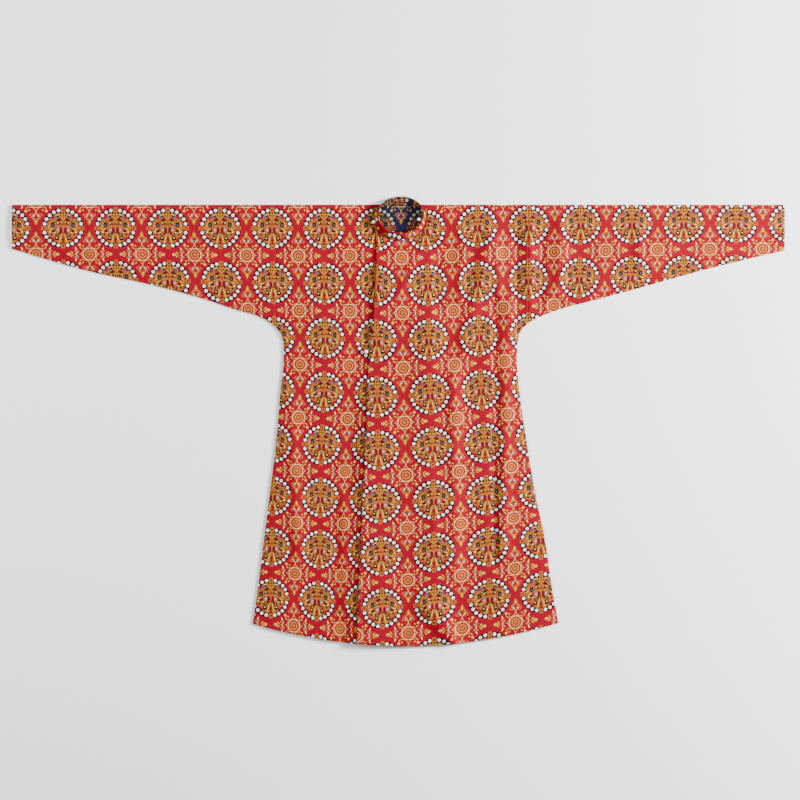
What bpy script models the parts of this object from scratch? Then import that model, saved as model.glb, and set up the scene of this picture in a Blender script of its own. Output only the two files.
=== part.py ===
"""A round-collar brocade robe with long tapering sleeves, laid flat with its sleeves spread.

X runs across the robe, with the wearer's left at +X. Y runs from the hem to the neck, and Z is up.
The back panel lies flat on the surface, the fronts lie on it, and each sleeve is a flattened tube.
Every panel is a wall of cloth worked out from the tables of sections and folds below.
"""

import math

import bmesh
import bpy
import numpy as np

# Driving dimensions, in metres.
CLOTH = 0.0012          # brocade with its backing cloth
BAND = 0.0024           # the collar band, folded double
SEAM_GAP = 0.0003       # left between two pieces at a seam
LAYER_GAP = 0.0006      # air between the back panel and what lies on it
SHOULDER_Y = 0.5595
CUFF_X = 1.0
RIGHT_SEAM_X = -0.3165  # where the wearer's right sleeve is sewn on
LEFT_SEAM_X = 0.3359
FOLD_RADIUS = 0.0015    # of a sleeve's folded edges

# The hem is a shallow arc: its lowest height, its middle, its half width and its rise to the corners.
HEM_LOW_Y = -0.5815
HEM_MID_X = 0.0149
HEM_HALF = 0.396
HEM_RISE = 0.0577

# Side edge of the body on the wearer's right, from the hem corner to the armhole: height, edge x.
RIGHT_SIDE = (
    (-0.5250, -0.3766), (-0.4326, -0.3631), (-0.3083, -0.3476), (-0.1841, -0.3320), (-0.0598, -0.3165),
    (0.0645, -0.3061), (0.1680, -0.2963), (0.2094, -0.2984), (0.2302, -0.3061), (0.2418, -0.3165),
)
LEFT_SIDE = (
    (-0.5228, 0.4144), (-0.4326, 0.3981), (-0.3083, 0.3799), (-0.1841, 0.3540), (-0.0598, 0.3333),
    (0.0645, 0.3152), (0.1680, 0.3074), (0.2094, 0.3100), (0.2302, 0.3152), (0.2535, 0.3359),
)
# Lower edge of each sleeve, from the armhole to the cuff: distance from the middle, height.
RIGHT_SLEEVE = (
    (0.3165, 0.2418), (0.3269, 0.2509), (0.3631, 0.2716), (0.4097, 0.2845),
    (0.5029, 0.3156), (0.6272, 0.3493), (0.8136, 0.3907), (1.0, 0.4450),
)
LEFT_SLEEVE = (
    (0.3359, 0.2535), (0.3722, 0.2716), (0.4291, 0.2923),
    (0.4912, 0.3078), (0.6155, 0.3415), (0.8019, 0.3933), (1.0, 0.4412),
)
# The free edge of the crossing front: height, edge x, and how far the cloth stands up there.
FREE_EDGE = (
    (-0.5763, -0.1073, 0.0085), (-0.3860, -0.1003, 0.0090), (-0.2566, -0.0939, 0.0080),
    (-0.0624, -0.0848, 0.0070), (0.1551, -0.0765, 0.0030), (0.2612, -0.0654, 0.0036),
    (0.4036, -0.0576, 0.0032), (0.5004, -0.0570, 0.0),
)
FREE_EDGE_RUN = 0.030   # how far in from the edge the covered front has lost its own folds
STAND_RUN = 0.120       # how far in from the edge the crossing front's lift dies out
# The covered edge of the front beneath, which runs straight from the neck to the hem.
COVERED_NECK = (0.0700, 0.5067)
COVERED_HEM_X = 0.1340
COVERED_TOP = 0.5450     # above this height the two fronts no longer overlap
# The crossing front comes down past the covered edge: how far beyond it that starts, over what width it
# comes down, and over what height the overlap ends below COVERED_TOP.
PAST_COVERED, PAST_RUN, TOP_RUN = 0.003, 0.018, 0.030

# The neck: the line where the collar band is sewn on, and the band's free rim.
NECK_X, NECK_Y = 0.0045, 0.5253
NECK_HALF, NECK_DROP = 0.0660, 0.0583
NECK_TOP = SHOULDER_Y - NECK_Y
RIM_X, RIM_Y = 0.0066, 0.5331
RIM_HALF, RIM_DROP = 0.0583, 0.0476
RISE_FRONT, RISE_SIDE, RISE_NAPE = 0.0080, 0.0150, 0.0060
INNER_INSET = 0.0040    # the covered end of the band lies this far inside the outer one
NECK_CLEAR = 0.0028     # from the sewing line to a panel's cut edge, half the band and the seam's gap
YOKE_ANGLE = 30.0       # each front is laid out in two parts that meet at this angle below the neck
SQUARE_LIMIT = 0.83     # share of the nape curve's height up to which a panel's edge follows it

# Collar angles in degrees, 0 at the wearer's left and 90 at the nape.
OUTER_START = (203.0, 190.0)   # at the sewing line and at the rim
OUTER_END = (525.0, 525.0)
INNER_START = (166.6, 166.6)
INNER_END = (345.0, 345.0)
COVERED_NECK_END = 341.0       # where the covered front's neck edge meets its straight edge
FREE_NECK_START = 204.5        # where the crossing front's neck edge meets its free edge
BAND_BOW = 0.0012              # the band's crown between its two edges
OUTER_LIFT, INNER_LIFT = 0.0013, 0.0009
# The covered end moves inwards from INSET_ANGLE on, and back out above INSET_LOW_Y, over these runs.
INSET_ANGLE, INSET_TURN = 168.0, 16.0
INSET_LOW_Y, INSET_RUN = 0.5212, 0.0272
# Share of the band's width that it loses and wins back, with the angle where that starts and its run.
NARROWER = (0.28, 170.0, 30.0)
WIDER = (0.30, 290.0, 50.0)

# The cloth's rise between its sewn edges, and its main folds.
LOFT = 0.0030
LOFT_RUN = 0.030
FOLD_END = 0.060        # a fold dies out over this length beyond its ends
# Start x and y, end x and y, height and half width of each fold.
FOLDS = (
    (0.1450, 0.1059, 0.1450, -0.3860, 0.0060, 0.022),
    (0.2375, 0.4684, 0.1728, 0.1965, 0.0050, 0.022),
    (0.2893, 0.3000, 0.2700, -0.3213, 0.0050, 0.018),
    (0.2560, 0.4200, 0.2600, 0.3250, 0.0032, 0.013),
    (0.1680, 0.5000, 0.1600, 0.3300, 0.0028, 0.016),
    (0.0750, 0.2500, 0.0850, -0.4800, 0.0045, 0.045),
    (0.3385, 0.4942, 0.3385, 0.2742, 0.0040, 0.014),
    (0.0822, -0.4896, 0.1392, -0.5724, 0.0050, 0.020),
    (-0.1379, -0.2307, -0.1379, -0.4792, 0.0035, 0.016),
    (-0.2777, 0.0412, -0.2614, -0.3213, 0.0030, 0.016),
    (0.6259, 0.4890, 0.6311, 0.3855, 0.0030, 0.018),
    (-0.9016, 0.5046, -0.8084, 0.4269, 0.0025, 0.018),
)
# Folds and loft die out towards the neck: from this many neck widths off, over this many, down to a share.
CALM_FROM, CALM_RUN, CALM_LOFT = 0.9, 1.2, 0.35

# Pearl buttons: x, y, z of the centre and the radius. The waist button's z follows the cloth.
BUTTON_NECK = (-0.0642, 0.5142, 0.0080, 0.0048)
BUTTON_WAIST = (-0.0830, 0.1794, 0.0, 0.0048)
BUTTON_INNER = (0.0528, 0.5205, 0.0165, 0.0040)
BUTTON_SQUASH = 0.75

# Counts of rows and columns of each piece's mesh.
BACK_ROWS, BACK_COLUMNS = 30, 11
FRONT_ROWS, YOKE_ROWS = 28, 7
NECK_STEPS, RIGHT_YOKE_STEPS, LEFT_YOKE_STEPS = 10, 13, 19
# Rows are bunched where the armhole curves: how much, and where along the side.
BUNCH, BUNCH_AT = 0.055, 0.22
OUTER_STEPS, INNER_STEPS, BAND_STEPS = 58, 34, 4
SLEEVE_FLAT_STEPS, SLEEVE_TOP_STEPS, FOLD_STEPS = 5, 15, 5
ARMHOLE_STATIONS, SLEEVE_STATIONS = 5, 13
ARMHOLE_LENGTH = 0.09   # the stations stand closer together over this length by the armhole

RED = (0.53, 0.035, 0.036, 1.0)
DEEP_RED = (0.38, 0.025, 0.030, 1.0)
PEARL = (0.86, 0.84, 0.80, 1.0)


def clear_scene():
    for obj in list(bpy.data.objects):
        bpy.data.objects.remove(obj, do_unlink=True)


def ease(t):
    """A smooth step from 0 to 1."""
    t = np.clip(t, 0.0, 1.0)
    return t * t * (3.0 - 2.0 * t)


def through(table, at, column=1):
    """A smooth curve through one column of a table, read against its first column."""
    rows = np.array(table)
    knots, values = rows[:, 0], rows[:, column]
    slopes = np.gradient(values, knots)
    k = np.clip(np.searchsorted(knots, at) - 1, 0, len(knots) - 2)
    step = knots[k + 1] - knots[k]
    t = np.clip((at - knots[k]) / step, 0.0, 1.0)
    start = values[k] * (1 + 2 * t) + slopes[k] * step * t
    end = values[k + 1] * (3 - 2 * t) - slopes[k + 1] * step * (1 - t)
    return start * (1 - t) ** 2 + end * t**2


def hem_y(x):
    """The hem is a shallow arc: its rise grows with the square of the distance from its middle."""
    return HEM_LOW_Y + HEM_RISE * ((x - HEM_MID_X) / HEM_HALF) ** 2


def side_x(table, seam_x, y):
    """The body's side edge, and above it the straight armhole seam."""
    return np.where(y < table[-1][0], through(table, np.minimum(y, table[-1][0])), seam_x)


def edge_path(side, sleeve, direction):
    """The sewn edge from the hem up the side and along under the sleeve to the cuff."""
    heights = np.linspace(side[0][0], side[-1][0], 24)
    reach = np.linspace(sleeve[0][0], CUFF_X, 16)[1:]
    up_side = np.column_stack([through(side, heights), heights])
    under_sleeve = np.column_stack([direction * reach, through(sleeve, reach)])
    return np.vstack([up_side, under_sleeve])


def path_distance(path, x, y):
    """Shortest distance from each point to a chain of straight stretches."""
    nearest = np.full(np.shape(x), np.inf)
    for (ax, ay), (bx, by) in zip(path[:-1], path[1:]):
        dx, dy = bx - ax, by - ay
        t = np.clip(((x - ax) * dx + (y - ay) * dy) / (dx * dx + dy * dy), 0.0, 1.0)
        nearest = np.minimum(nearest, np.hypot(x - ax - t * dx, y - ay - t * dy))
    return nearest


def fold_height(x, y):
    """Each fold is a soft ridge about a line, dying out beyond its ends."""
    total = np.zeros(np.shape(x))
    for x0, y0, x1, y1, height, width in FOLDS:
        dx, dy = x1 - x0, y1 - y0
        length = math.hypot(dx, dy)
        along = ((x - x0) * dx + (y - y0) * dy) / length
        across = ((y - y0) * dx - (x - x0) * dy) / length
        beyond = np.maximum(np.maximum(-along, along - length), 0.0)
        total = total + height * np.exp(-((across / width) ** 2)) * (1 - ease(beyond / FOLD_END))
    return total


def loft(x, y, folds=1.0):
    """How far the front layer stands off the back: nothing at the sewn edges, more between them."""
    edge = SHOULDER_Y - y
    edge = np.minimum(edge, path_distance(edge_path(RIGHT_SIDE, RIGHT_SLEEVE, -1), x, y))
    edge = np.minimum(edge, path_distance(edge_path(LEFT_SIDE, LEFT_SLEEVE, 1), x, y))
    edge = np.maximum(edge, 0.0)
    to_neck = np.hypot(x - NECK_X, y - NECK_Y) / NECK_HALF
    calm = ease((to_neck - CALM_FROM) / CALM_RUN)
    rise = 1 - np.exp(-edge / LOFT_RUN)
    level = LOFT * (CALM_LOFT + (1 - CALM_LOFT) * calm)
    return rise * (level + folds * fold_height(x, y) * calm)


def covered_edge_x(y):
    """The covered edge of the front beneath."""
    t = np.clip((COVERED_NECK[1] - y) / (COVERED_NECK[1] - HEM_LOW_Y), 0.0, 1.0)
    return COVERED_NECK[0] + (COVERED_HEM_X - COVERED_NECK[0]) * t


def overlap(x, y):
    """1 where the crossing front lies on the other front, 0 where it lies on the back."""
    past = ease((x - covered_edge_x(y) - PAST_COVERED) / PAST_RUN)
    return (1 - past) * ease((COVERED_TOP - y) / TOP_RUN)


def free_edge(y, column=1):
    """The free edge's x at a height, or in column 2 how far it stands up."""
    return through(FREE_EDGE, np.clip(y, FREE_EDGE[0][0], FREE_EDGE[-1][0]), column)


def under_front_z(x, y):
    """Underside of the front beneath, which is smooth where the other front covers it."""
    return CLOTH + LAYER_GAP + loft(x, y, 1 - ease((x - free_edge(y)) / FREE_EDGE_RUN))


def over_front_z(x, y):
    """Underside of the crossing front, lifted along its free edge."""
    from_edge = np.maximum(x - free_edge(y), 0.0)
    stand = free_edge(y, 2) * np.exp(-((from_edge / STAND_RUN) ** 2))
    return CLOTH + LAYER_GAP + loft(x, y) + (CLOTH + SEAM_GAP) * overlap(x, y) + stand


def neck_line(degrees, out=0.0):
    """The sewing line of the collar: a half ellipse in front, squarer towards the nape."""
    angle = np.radians(degrees)
    c, s = np.cos(angle), np.sin(angle)
    power = np.where(s > 0, 2.0 / 3.0, 1.0)
    x = NECK_X + (NECK_HALF + out) * np.sign(c) * np.abs(c) ** power
    y = NECK_Y + (np.where(s > 0, NECK_TOP, NECK_DROP) + out * (s < 0)) * np.sign(s) * np.abs(s) ** power
    return np.stack([x, y], axis=-1)


def neck_side_x(direction, y, out):
    """The neck line beside the neck, read by height."""
    below = np.clip((NECK_Y - y) / (NECK_DROP + out), 0.0, 1.0)
    above = np.clip((y - NECK_Y) / NECK_TOP, 0.0, SQUARE_LIMIT)
    half = np.where(y < NECK_Y, np.sqrt(1 - below**2), (1 - above**3) ** (1.0 / 3.0))
    return NECK_X + direction * (NECK_HALF + out) * half


def rim_line(degrees):
    """The band's upper rim, an ellipse seen from above."""
    angle = np.radians(degrees)
    return np.stack([RIM_X + RIM_HALF * np.cos(angle), RIM_Y + RIM_DROP * np.sin(angle)], axis=-1)


def rim_rise(degrees):
    """The band stands highest at the sides of the neck and leans over in front and at the nape."""
    s = np.sin(np.radians(degrees))
    ends = np.where(s > 0, RISE_NAPE, RISE_FRONT)
    return ends + (RISE_SIDE - ends) * (1 - s**2)


def coons(left, right, bottom, top):
    """A patch of points between four edges, each an array of x and y."""
    v = np.linspace(0, 1, len(left))[:, None, None]
    u = np.linspace(0, 1, len(bottom))[None, :, None]
    corners = (1 - v) * ((1 - u) * bottom[0] + u * bottom[-1]) + v * ((1 - u) * top[0] + u * top[-1])
    return (1 - v) * bottom[None] + v * top[None] + (1 - u) * left[:, None] + u * right[:, None] - corners


def lifted(patch, height):
    """Gives a flat patch its height at each point."""
    x, y = patch[..., 0], patch[..., 1]
    return np.dstack([x, y, height(x, y)])


def row_shares(rows):
    """Row positions from hem to yoke, 0 to 1, closer together where the armhole curves."""
    even = np.linspace(0, 1, rows)
    shares = even + BUNCH * np.sin(2 * math.pi * (even - BUNCH_AT))
    return (shares - shares[0]) / (shares[-1] - shares[0])


def hem_points(x0, x1, count):
    """Evenly spaced points along the hem."""
    x = np.linspace(x0, x1, count)
    return np.column_stack([x, hem_y(x)])


def edge_points(shares, low_y, high_y, x_of_y):
    """Points up an edge at the given shares of its height."""
    y = low_y + (high_y - low_y) * shares
    return np.column_stack([x_of_y(y), y])


def back_grid():
    """The back from hem to shoulder, between the two side edges."""
    shares = row_shares(BACK_ROWS)
    right = edge_points(shares, RIGHT_SIDE[0][0], SHOULDER_Y, right_edge)
    left = edge_points(shares, LEFT_SIDE[0][0], SHOULDER_Y, left_edge)
    bottom = hem_points(right[0][0], left[0][0], BACK_COLUMNS)
    shoulder = np.linspace(right[-1][0], left[-1][0], BACK_COLUMNS)
    top = np.column_stack([shoulder, np.full(BACK_COLUMNS, SHOULDER_Y)])
    return [lifted(coons(right, left, bottom, top), lambda x, y: np.zeros(x.shape))]


def right_edge(y):
    """The wearer's right side edge of the body, half a seam's gap in."""
    return side_x(RIGHT_SIDE, RIGHT_SEAM_X + SEAM_GAP / 2, y)


def left_edge(y):
    """The wearer's left side edge of the body, half a seam's gap in."""
    return side_x(LEFT_SIDE, LEFT_SEAM_X - SEAM_GAP / 2, y)


def yoke_patch(yoke, direction, seam_x, out):
    """The part of a front between the yoke line and the shoulder."""
    heights = np.linspace(yoke[0][1], SHOULDER_Y, YOKE_ROWS)
    neck = np.column_stack([neck_side_x(direction, heights, out(heights)), heights])
    neck[0] = yoke[0] if direction > 0 else yoke[-1]
    seam = np.column_stack([np.full(YOKE_ROWS, seam_x), heights])
    left, right = (neck, seam) if direction > 0 else (seam, neck)
    shoulder = np.linspace(left[-1][0], right[-1][0], len(yoke))
    top = np.column_stack([shoulder, np.full(len(yoke), SHOULDER_Y)])
    return coons(left, right, yoke, top)


def inset_at(y):
    """How far the covered end of the collar lies inside the outer one, by height."""
    return INNER_INSET * (1 - ease((y - INSET_LOW_Y) / INSET_RUN))


def right_front_grids():
    """The front beneath: the wearer's right side, neck and the part that the other front covers."""
    shares = row_shares(FRONT_ROWS)
    neck = neck_line(np.linspace(180 + YOKE_ANGLE, COVERED_NECK_END, NECK_STEPS), NECK_CLEAR - INNER_INSET)
    yoke_y = neck[0][1]
    across = np.linspace(RIGHT_SEAM_X + SEAM_GAP / 2, neck[0][0], RIGHT_YOKE_STEPS)
    yoke = np.column_stack([across, np.full(RIGHT_YOKE_STEPS, yoke_y)])
    top = np.vstack([yoke[:-1], neck])
    left = edge_points(shares, RIGHT_SIDE[0][0], yoke_y, right_edge)
    hem_end = np.array([COVERED_HEM_X, hem_y(COVERED_HEM_X)])
    right = hem_end + (neck[-1] - hem_end) * shares[:, None]
    bottom = hem_points(left[0][0], COVERED_HEM_X, len(top))
    lower = coons(left, right, bottom, top)
    upper = yoke_patch(yoke, -1, RIGHT_SEAM_X + SEAM_GAP / 2, lambda y: NECK_CLEAR - inset_at(y))
    return [lifted(lower, under_front_z), lifted(upper, under_front_z)]


def left_front_grids():
    """The crossing front: from its free edge round the neck to the wearer's left side."""
    shares = row_shares(FRONT_ROWS)
    neck = neck_line(np.linspace(FREE_NECK_START, 360 - YOKE_ANGLE, NECK_STEPS), NECK_CLEAR)
    yoke_y = neck[-1][1]
    across = np.linspace(neck[-1][0], LEFT_SEAM_X - SEAM_GAP / 2, LEFT_YOKE_STEPS)
    yoke = np.column_stack([across, np.full(LEFT_YOKE_STEPS, yoke_y)])
    top = np.vstack([neck, yoke[1:]])
    left = edge_points(shares, FREE_EDGE[0][0], neck[0][1], free_edge)
    left[-1] = neck[0]
    right = edge_points(shares, LEFT_SIDE[0][0], yoke_y, left_edge)
    bottom = hem_points(left[0][0], right[0][0], len(top))
    bottom[0] = left[0]
    lower = coons(left, right, bottom, top)
    upper = yoke_patch(yoke, 1, LEFT_SEAM_X - SEAM_GAP / 2, lambda y: NECK_CLEAR)
    return [lifted(lower, over_front_z), lifted(upper, over_front_z)]


def collar_grid(start, end, steps, inset, reach, front_z, lift):
    """The band from its sewing line to its rim, between two angles."""
    widths = np.linspace(0, 1, BAND_STEPS)
    centre = np.array([NECK_X, NECK_Y])
    rows = []
    for s in np.linspace(0, 1, steps):
        sewn_angle = start[0] + (end[0] - start[0]) * s
        rim_angle = start[1] + (end[1] - start[1]) * s
        degrees = sewn_angle + (rim_angle - sewn_angle) * widths
        sewn = neck_line(degrees)
        outward = (sewn - centre) / np.linalg.norm(sewn - centre, axis=1)[:, None]
        foot = sewn - outward * inset(degrees)[:, None]
        plan = foot + (rim_line(degrees) - sewn) * (widths * reach(degrees))[:, None]
        height = front_z(foot[:, 0], foot[:, 1]) + lift
        height = height + rim_rise(degrees) * widths * reach(degrees) + BAND_BOW * np.sin(math.pi * widths)
        rows.append(np.column_stack([plan, height]))
    return [np.array(rows)]


def outer_collar_grids():
    """The part of the band that lies on the crossing front, at full width all along."""
    return collar_grid(OUTER_START, OUTER_END, OUTER_STEPS, lambda a: 0.0 * a, lambda a: 1 + 0.0 * a,
                       over_front_z, OUTER_LIFT)


def inner_collar_grids():
    """The covered part of the band: narrower and set inwards where the outer part crosses it."""
    def inset(a):
        return INNER_INSET * ease((a - INSET_ANGLE) / INSET_TURN)

    def reach(a):
        lost, lost_from, lost_run = NARROWER
        won, won_from, won_run = WIDER
        return 1 - lost * ease((a - lost_from) / lost_run) + won * ease((a - won_from) / won_run)

    return collar_grid(INNER_START, INNER_END, INNER_STEPS, inset, reach, under_front_z, INNER_LIFT)


def grid_faces(rows, columns, first=0):
    k = np.arange(rows * columns).reshape(rows, columns) + first
    return np.stack([k[:-1, :-1], k[:-1, 1:], k[1:, 1:], k[1:, :-1]], axis=-1).reshape(-1, 4)


def principled(name, colour, roughness):
    material = bpy.data.materials.new(name)
    material.use_nodes = True
    shader = material.node_tree.nodes["Principled BSDF"]
    shader.inputs["Base Color"].default_value = colour
    shader.inputs["Roughness"].default_value = roughness
    shader.inputs["Metallic"].default_value = 0.0
    return material


def add_object(collection, name, mesh, colour, roughness):
    mesh.materials.append(principled(name, colour, roughness))
    mesh.shade_smooth()
    mesh.set_sharp_from_angle(angle=math.radians(40))
    obj = bpy.data.objects.new(name, mesh)
    collection.objects.link(obj)
    return obj


def cloth_sheet(collection, name, grids, thickness, offset, colour):
    """Open sheets joined along their shared edge, given the cloth's thickness by a Solidify modifier."""
    points, faces, first = [], [], 0
    for grid in grids:
        rows, columns, _ = grid.shape
        points.append(grid.reshape(-1, 3))
        faces.append(grid_faces(rows, columns, first))
        first += rows * columns
    mesh = bpy.data.meshes.new(name)
    mesh.from_pydata(np.vstack(points).tolist(), [], np.vstack(faces).tolist())
    joined = bmesh.new()
    joined.from_mesh(mesh)
    bmesh.ops.remove_doubles(joined, verts=joined.verts, dist=1e-5)
    joined.to_mesh(mesh)
    joined.free()
    obj = add_object(collection, name, mesh, colour, 0.55)
    wall = obj.modifiers.new("Thickness", "SOLIDIFY")
    wall.thickness = thickness
    wall.offset = offset
    return obj


def sleeve_ring(x, low, high, inset):
    """One section of a sleeve: flat below, lofted above, round at its two folded edges."""
    radius = FOLD_RADIUS - inset
    arc = np.radians(np.linspace(-90, 90, FOLD_STEPS)[1:-1])
    low_in, high_in = low + inset + radius, high - inset - radius
    flat = np.linspace(low_in, high_in, SLEEVE_FLAT_STEPS)
    top = np.linspace(high_in, low_in, SLEEVE_TOP_STEPS)
    upper = 2 * FOLD_RADIUS + loft(np.full(top.shape, x), top) - inset
    outline = np.vstack([
        np.column_stack([flat, np.full(flat.shape, inset)]),
        np.column_stack([high_in + radius * np.cos(arc), FOLD_RADIUS + radius * np.sin(arc)]),
        np.column_stack([top, upper]),
        np.column_stack([low_in - radius * np.cos(arc), FOLD_RADIUS - radius * np.sin(arc)]),
    ])
    return np.column_stack([np.full(len(outline), x), outline])


def sleeve(collection, name, direction, table, seam_x):
    """A tube through its sections, with a wall of cloth and both ends open."""
    start = seam_x + direction * SEAM_GAP / 2
    turn = start + direction * ARMHOLE_LENGTH
    near = np.linspace(start, turn, ARMHOLE_STATIONS)
    far = np.linspace(turn, direction * CUFF_X, SLEEVE_STATIONS)[1:]
    rings = []
    for x in np.concatenate([near, far]):
        low = float(through(table, np.abs(x)))
        rings.append(np.stack([sleeve_ring(x, low, SHOULDER_Y, 0.0), sleeve_ring(x, low, SHOULDER_Y, CLOTH)]))
    rings = np.array(rings)
    count, _, around, _ = rings.shape
    k = np.arange(rings[..., 0].size).reshape(count, 2, around)
    turned = np.roll(k, -1, axis=2)
    outer = np.stack([k[:-1, 0], turned[:-1, 0], turned[1:, 0], k[1:, 0]], axis=-1).reshape(-1, 4)
    inner = np.stack([k[:-1, 1], k[1:, 1], turned[1:, 1], turned[:-1, 1]], axis=-1).reshape(-1, 4)
    first = np.stack([k[0, 0], k[0, 1], turned[0, 1], turned[0, 0]], axis=-1)
    last = np.stack([k[-1, 0], turned[-1, 0], turned[-1, 1], k[-1, 1]], axis=-1)
    mesh = bpy.data.meshes.new(name)
    mesh.from_pydata(rings.reshape(-1, 3).tolist(), [], np.vstack([outer, inner, first, last]).tolist())
    tube = bmesh.new()
    tube.from_mesh(mesh)
    bmesh.ops.recalc_face_normals(tube, faces=tube.faces)
    tube.to_mesh(mesh)
    tube.free()
    return add_object(collection, name, mesh, RED, 0.55)


def button(collection, name, x, y, z, radius):
    """A pearl button, a ball a little flattened."""
    mesh = bpy.data.meshes.new(name)
    ball = bmesh.new()
    bmesh.ops.create_uvsphere(ball, u_segments=14, v_segments=8, radius=radius)
    bmesh.ops.scale(ball, vec=(1.0, 1.0, BUTTON_SQUASH), verts=ball.verts)
    ball.to_mesh(mesh)
    ball.free()
    obj = add_object(collection, name, mesh, PEARL, 0.25)
    obj.location = (x, y, z)
    return obj


def waist_button_z():
    x, y, _, radius = BUTTON_WAIST
    top = float(under_front_z(np.array(x), np.array(y))) + CLOTH
    return top + SEAM_GAP + BUTTON_SQUASH * radius


def main():
    clear_scene()
    robe = bpy.data.collections.new("round_collar_robe")
    bpy.context.scene.collection.children.link(robe)
    cloth_sheet(robe, "back", back_grid(), CLOTH, 1.0, RED)
    cloth_sheet(robe, "front_right", right_front_grids(), CLOTH, 1.0, RED)
    cloth_sheet(robe, "front_left", left_front_grids(), CLOTH, 1.0, RED)
    sleeve(robe, "sleeve_right", -1, RIGHT_SLEEVE, RIGHT_SEAM_X)
    sleeve(robe, "sleeve_left", 1, LEFT_SLEEVE, LEFT_SEAM_X)
    cloth_sheet(robe, "collar_outer", outer_collar_grids(), BAND, 0.0, DEEP_RED)
    cloth_sheet(robe, "collar_inner", inner_collar_grids(), BAND, 0.0, DEEP_RED)
    button(robe, "button_neck", *BUTTON_NECK)
    button(robe, "button_waist", BUTTON_WAIST[0], BUTTON_WAIST[1], waist_button_z(), BUTTON_WAIST[3])
    button(robe, "button_inner", *BUTTON_INNER)


main()
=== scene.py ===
import math

import bmesh
import bpy
import numpy as np
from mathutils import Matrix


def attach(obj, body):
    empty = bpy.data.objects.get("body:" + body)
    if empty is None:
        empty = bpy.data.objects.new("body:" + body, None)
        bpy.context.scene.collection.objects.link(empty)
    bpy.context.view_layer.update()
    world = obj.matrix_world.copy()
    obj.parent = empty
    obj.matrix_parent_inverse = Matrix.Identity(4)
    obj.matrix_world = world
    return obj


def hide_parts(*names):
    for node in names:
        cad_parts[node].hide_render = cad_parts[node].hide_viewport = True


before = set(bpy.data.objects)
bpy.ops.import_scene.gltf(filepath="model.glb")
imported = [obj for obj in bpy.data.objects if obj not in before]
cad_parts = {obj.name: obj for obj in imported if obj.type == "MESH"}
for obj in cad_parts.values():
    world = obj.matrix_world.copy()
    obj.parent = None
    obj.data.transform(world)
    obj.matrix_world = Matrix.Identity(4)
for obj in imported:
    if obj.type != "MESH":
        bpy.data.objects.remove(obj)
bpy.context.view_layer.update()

# The brocade: a heavy silk woven with rings of pearls round a flowering tree, and with rosettes between
# the rings. Its face is red and its reverse navy. The figures are drawn by shader nodes from charts in
# steps of 2.6 mm of cloth, and one repeat covers 52.4 by 54.2 steps.
REPEAT_STEPS = (52.4, 54.2, 1.0)
SOFT_EDGE = 0.2        # steps over which one colour turns into the next
RING_INNER, RING_OUTER = 16.1, 20.9
PEARL_CIRCLE, PEARL_RADIUS, PEARL_SPACING = 18.4, 1.6, math.radians(15.4)
TAB_ANGLE = math.radians(38.6)


def put(tree, kind, *values, **settings):
    """Adds a node, sets its properties and fills its sockets in order with links or numbers."""
    node = tree.nodes.new(kind)
    for name, value in settings.items():
        setattr(node, name, value)
    for socket, value in zip(node.inputs, values):
        if isinstance(value, bpy.types.NodeSocket):
            tree.links.new(value, socket)
        elif value is not None:
            socket.default_value = value
    return node


def maths(tree, operation, *values):
    return put(tree, "ShaderNodeMath", *values, operation=operation).outputs[0]


def vector(tree, operation, *values, out="Vector"):
    return put(tree, "ShaderNodeVectorMath", *values, operation=operation).outputs[out]


def inside(tree, distance, edge, soft=SOFT_EDGE):
    """Over 1 where distance is under edge and below 0 beyond it: (edge - distance)/soft + 1/2. paint clamps it,
    and the smaller of two such masks is where both hold."""
    return maths(tree, "MULTIPLY_ADD", distance, -1.0 / soft, edge / soft + 0.5)


def new_material(name):
    """A material, its node tree and its shader."""
    material = bpy.data.materials.new(name)
    material.use_nodes = True
    return material, material.node_tree, material.node_tree.nodes["Principled BSDF"]


def paint(tree, under, mask, colour):
    """Lays a colour over another one where the mask is 1."""
    mix = put(tree, "ShaderNodeMix", data_type="RGBA")
    tree.links.new(mask, mix.inputs[0])
    for socket, value in ((mix.inputs[6], under), (mix.inputs[7], colour)):
        if isinstance(value, bpy.types.NodeSocket):
            tree.links.new(value, socket)
        else:
            socket.default_value = (*value, 1)
    return mix.outputs[2]


def figure(tree, place, kind, x, y, length, width, turn):
    """Mask of one figure. (a, b) is the place moved to the figure's middle, turned to its axis and divided by
    its half sizes, each by one dot product, since the place's third number is 1. A dot is the ellipse
    a*a + b*b < 1, and a leaf has two points, a*a + |b| < 1."""
    c, s = math.cos(math.radians(turn)), math.sin(math.radians(turn))
    a = vector(tree, "DOT_PRODUCT", place, (c / length, s / length, -(c * x + s * y) / length), out="Value")
    b = vector(tree, "DOT_PRODUCT", place, (-s / width, c / width, (s * x - c * y) / width), out="Value")
    if kind == "dot":
        reach = maths(tree, "MULTIPLY_ADD", a, a, maths(tree, "MULTIPLY", b, b))
        return inside(tree, reach, 1.0, 2 * SOFT_EDGE / width)
    reach = maths(tree, "MULTIPLY_ADD", a, a, maths(tree, "ABSOLUTE", b))
    return inside(tree, reach, 1.0, SOFT_EDGE / width)


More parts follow.
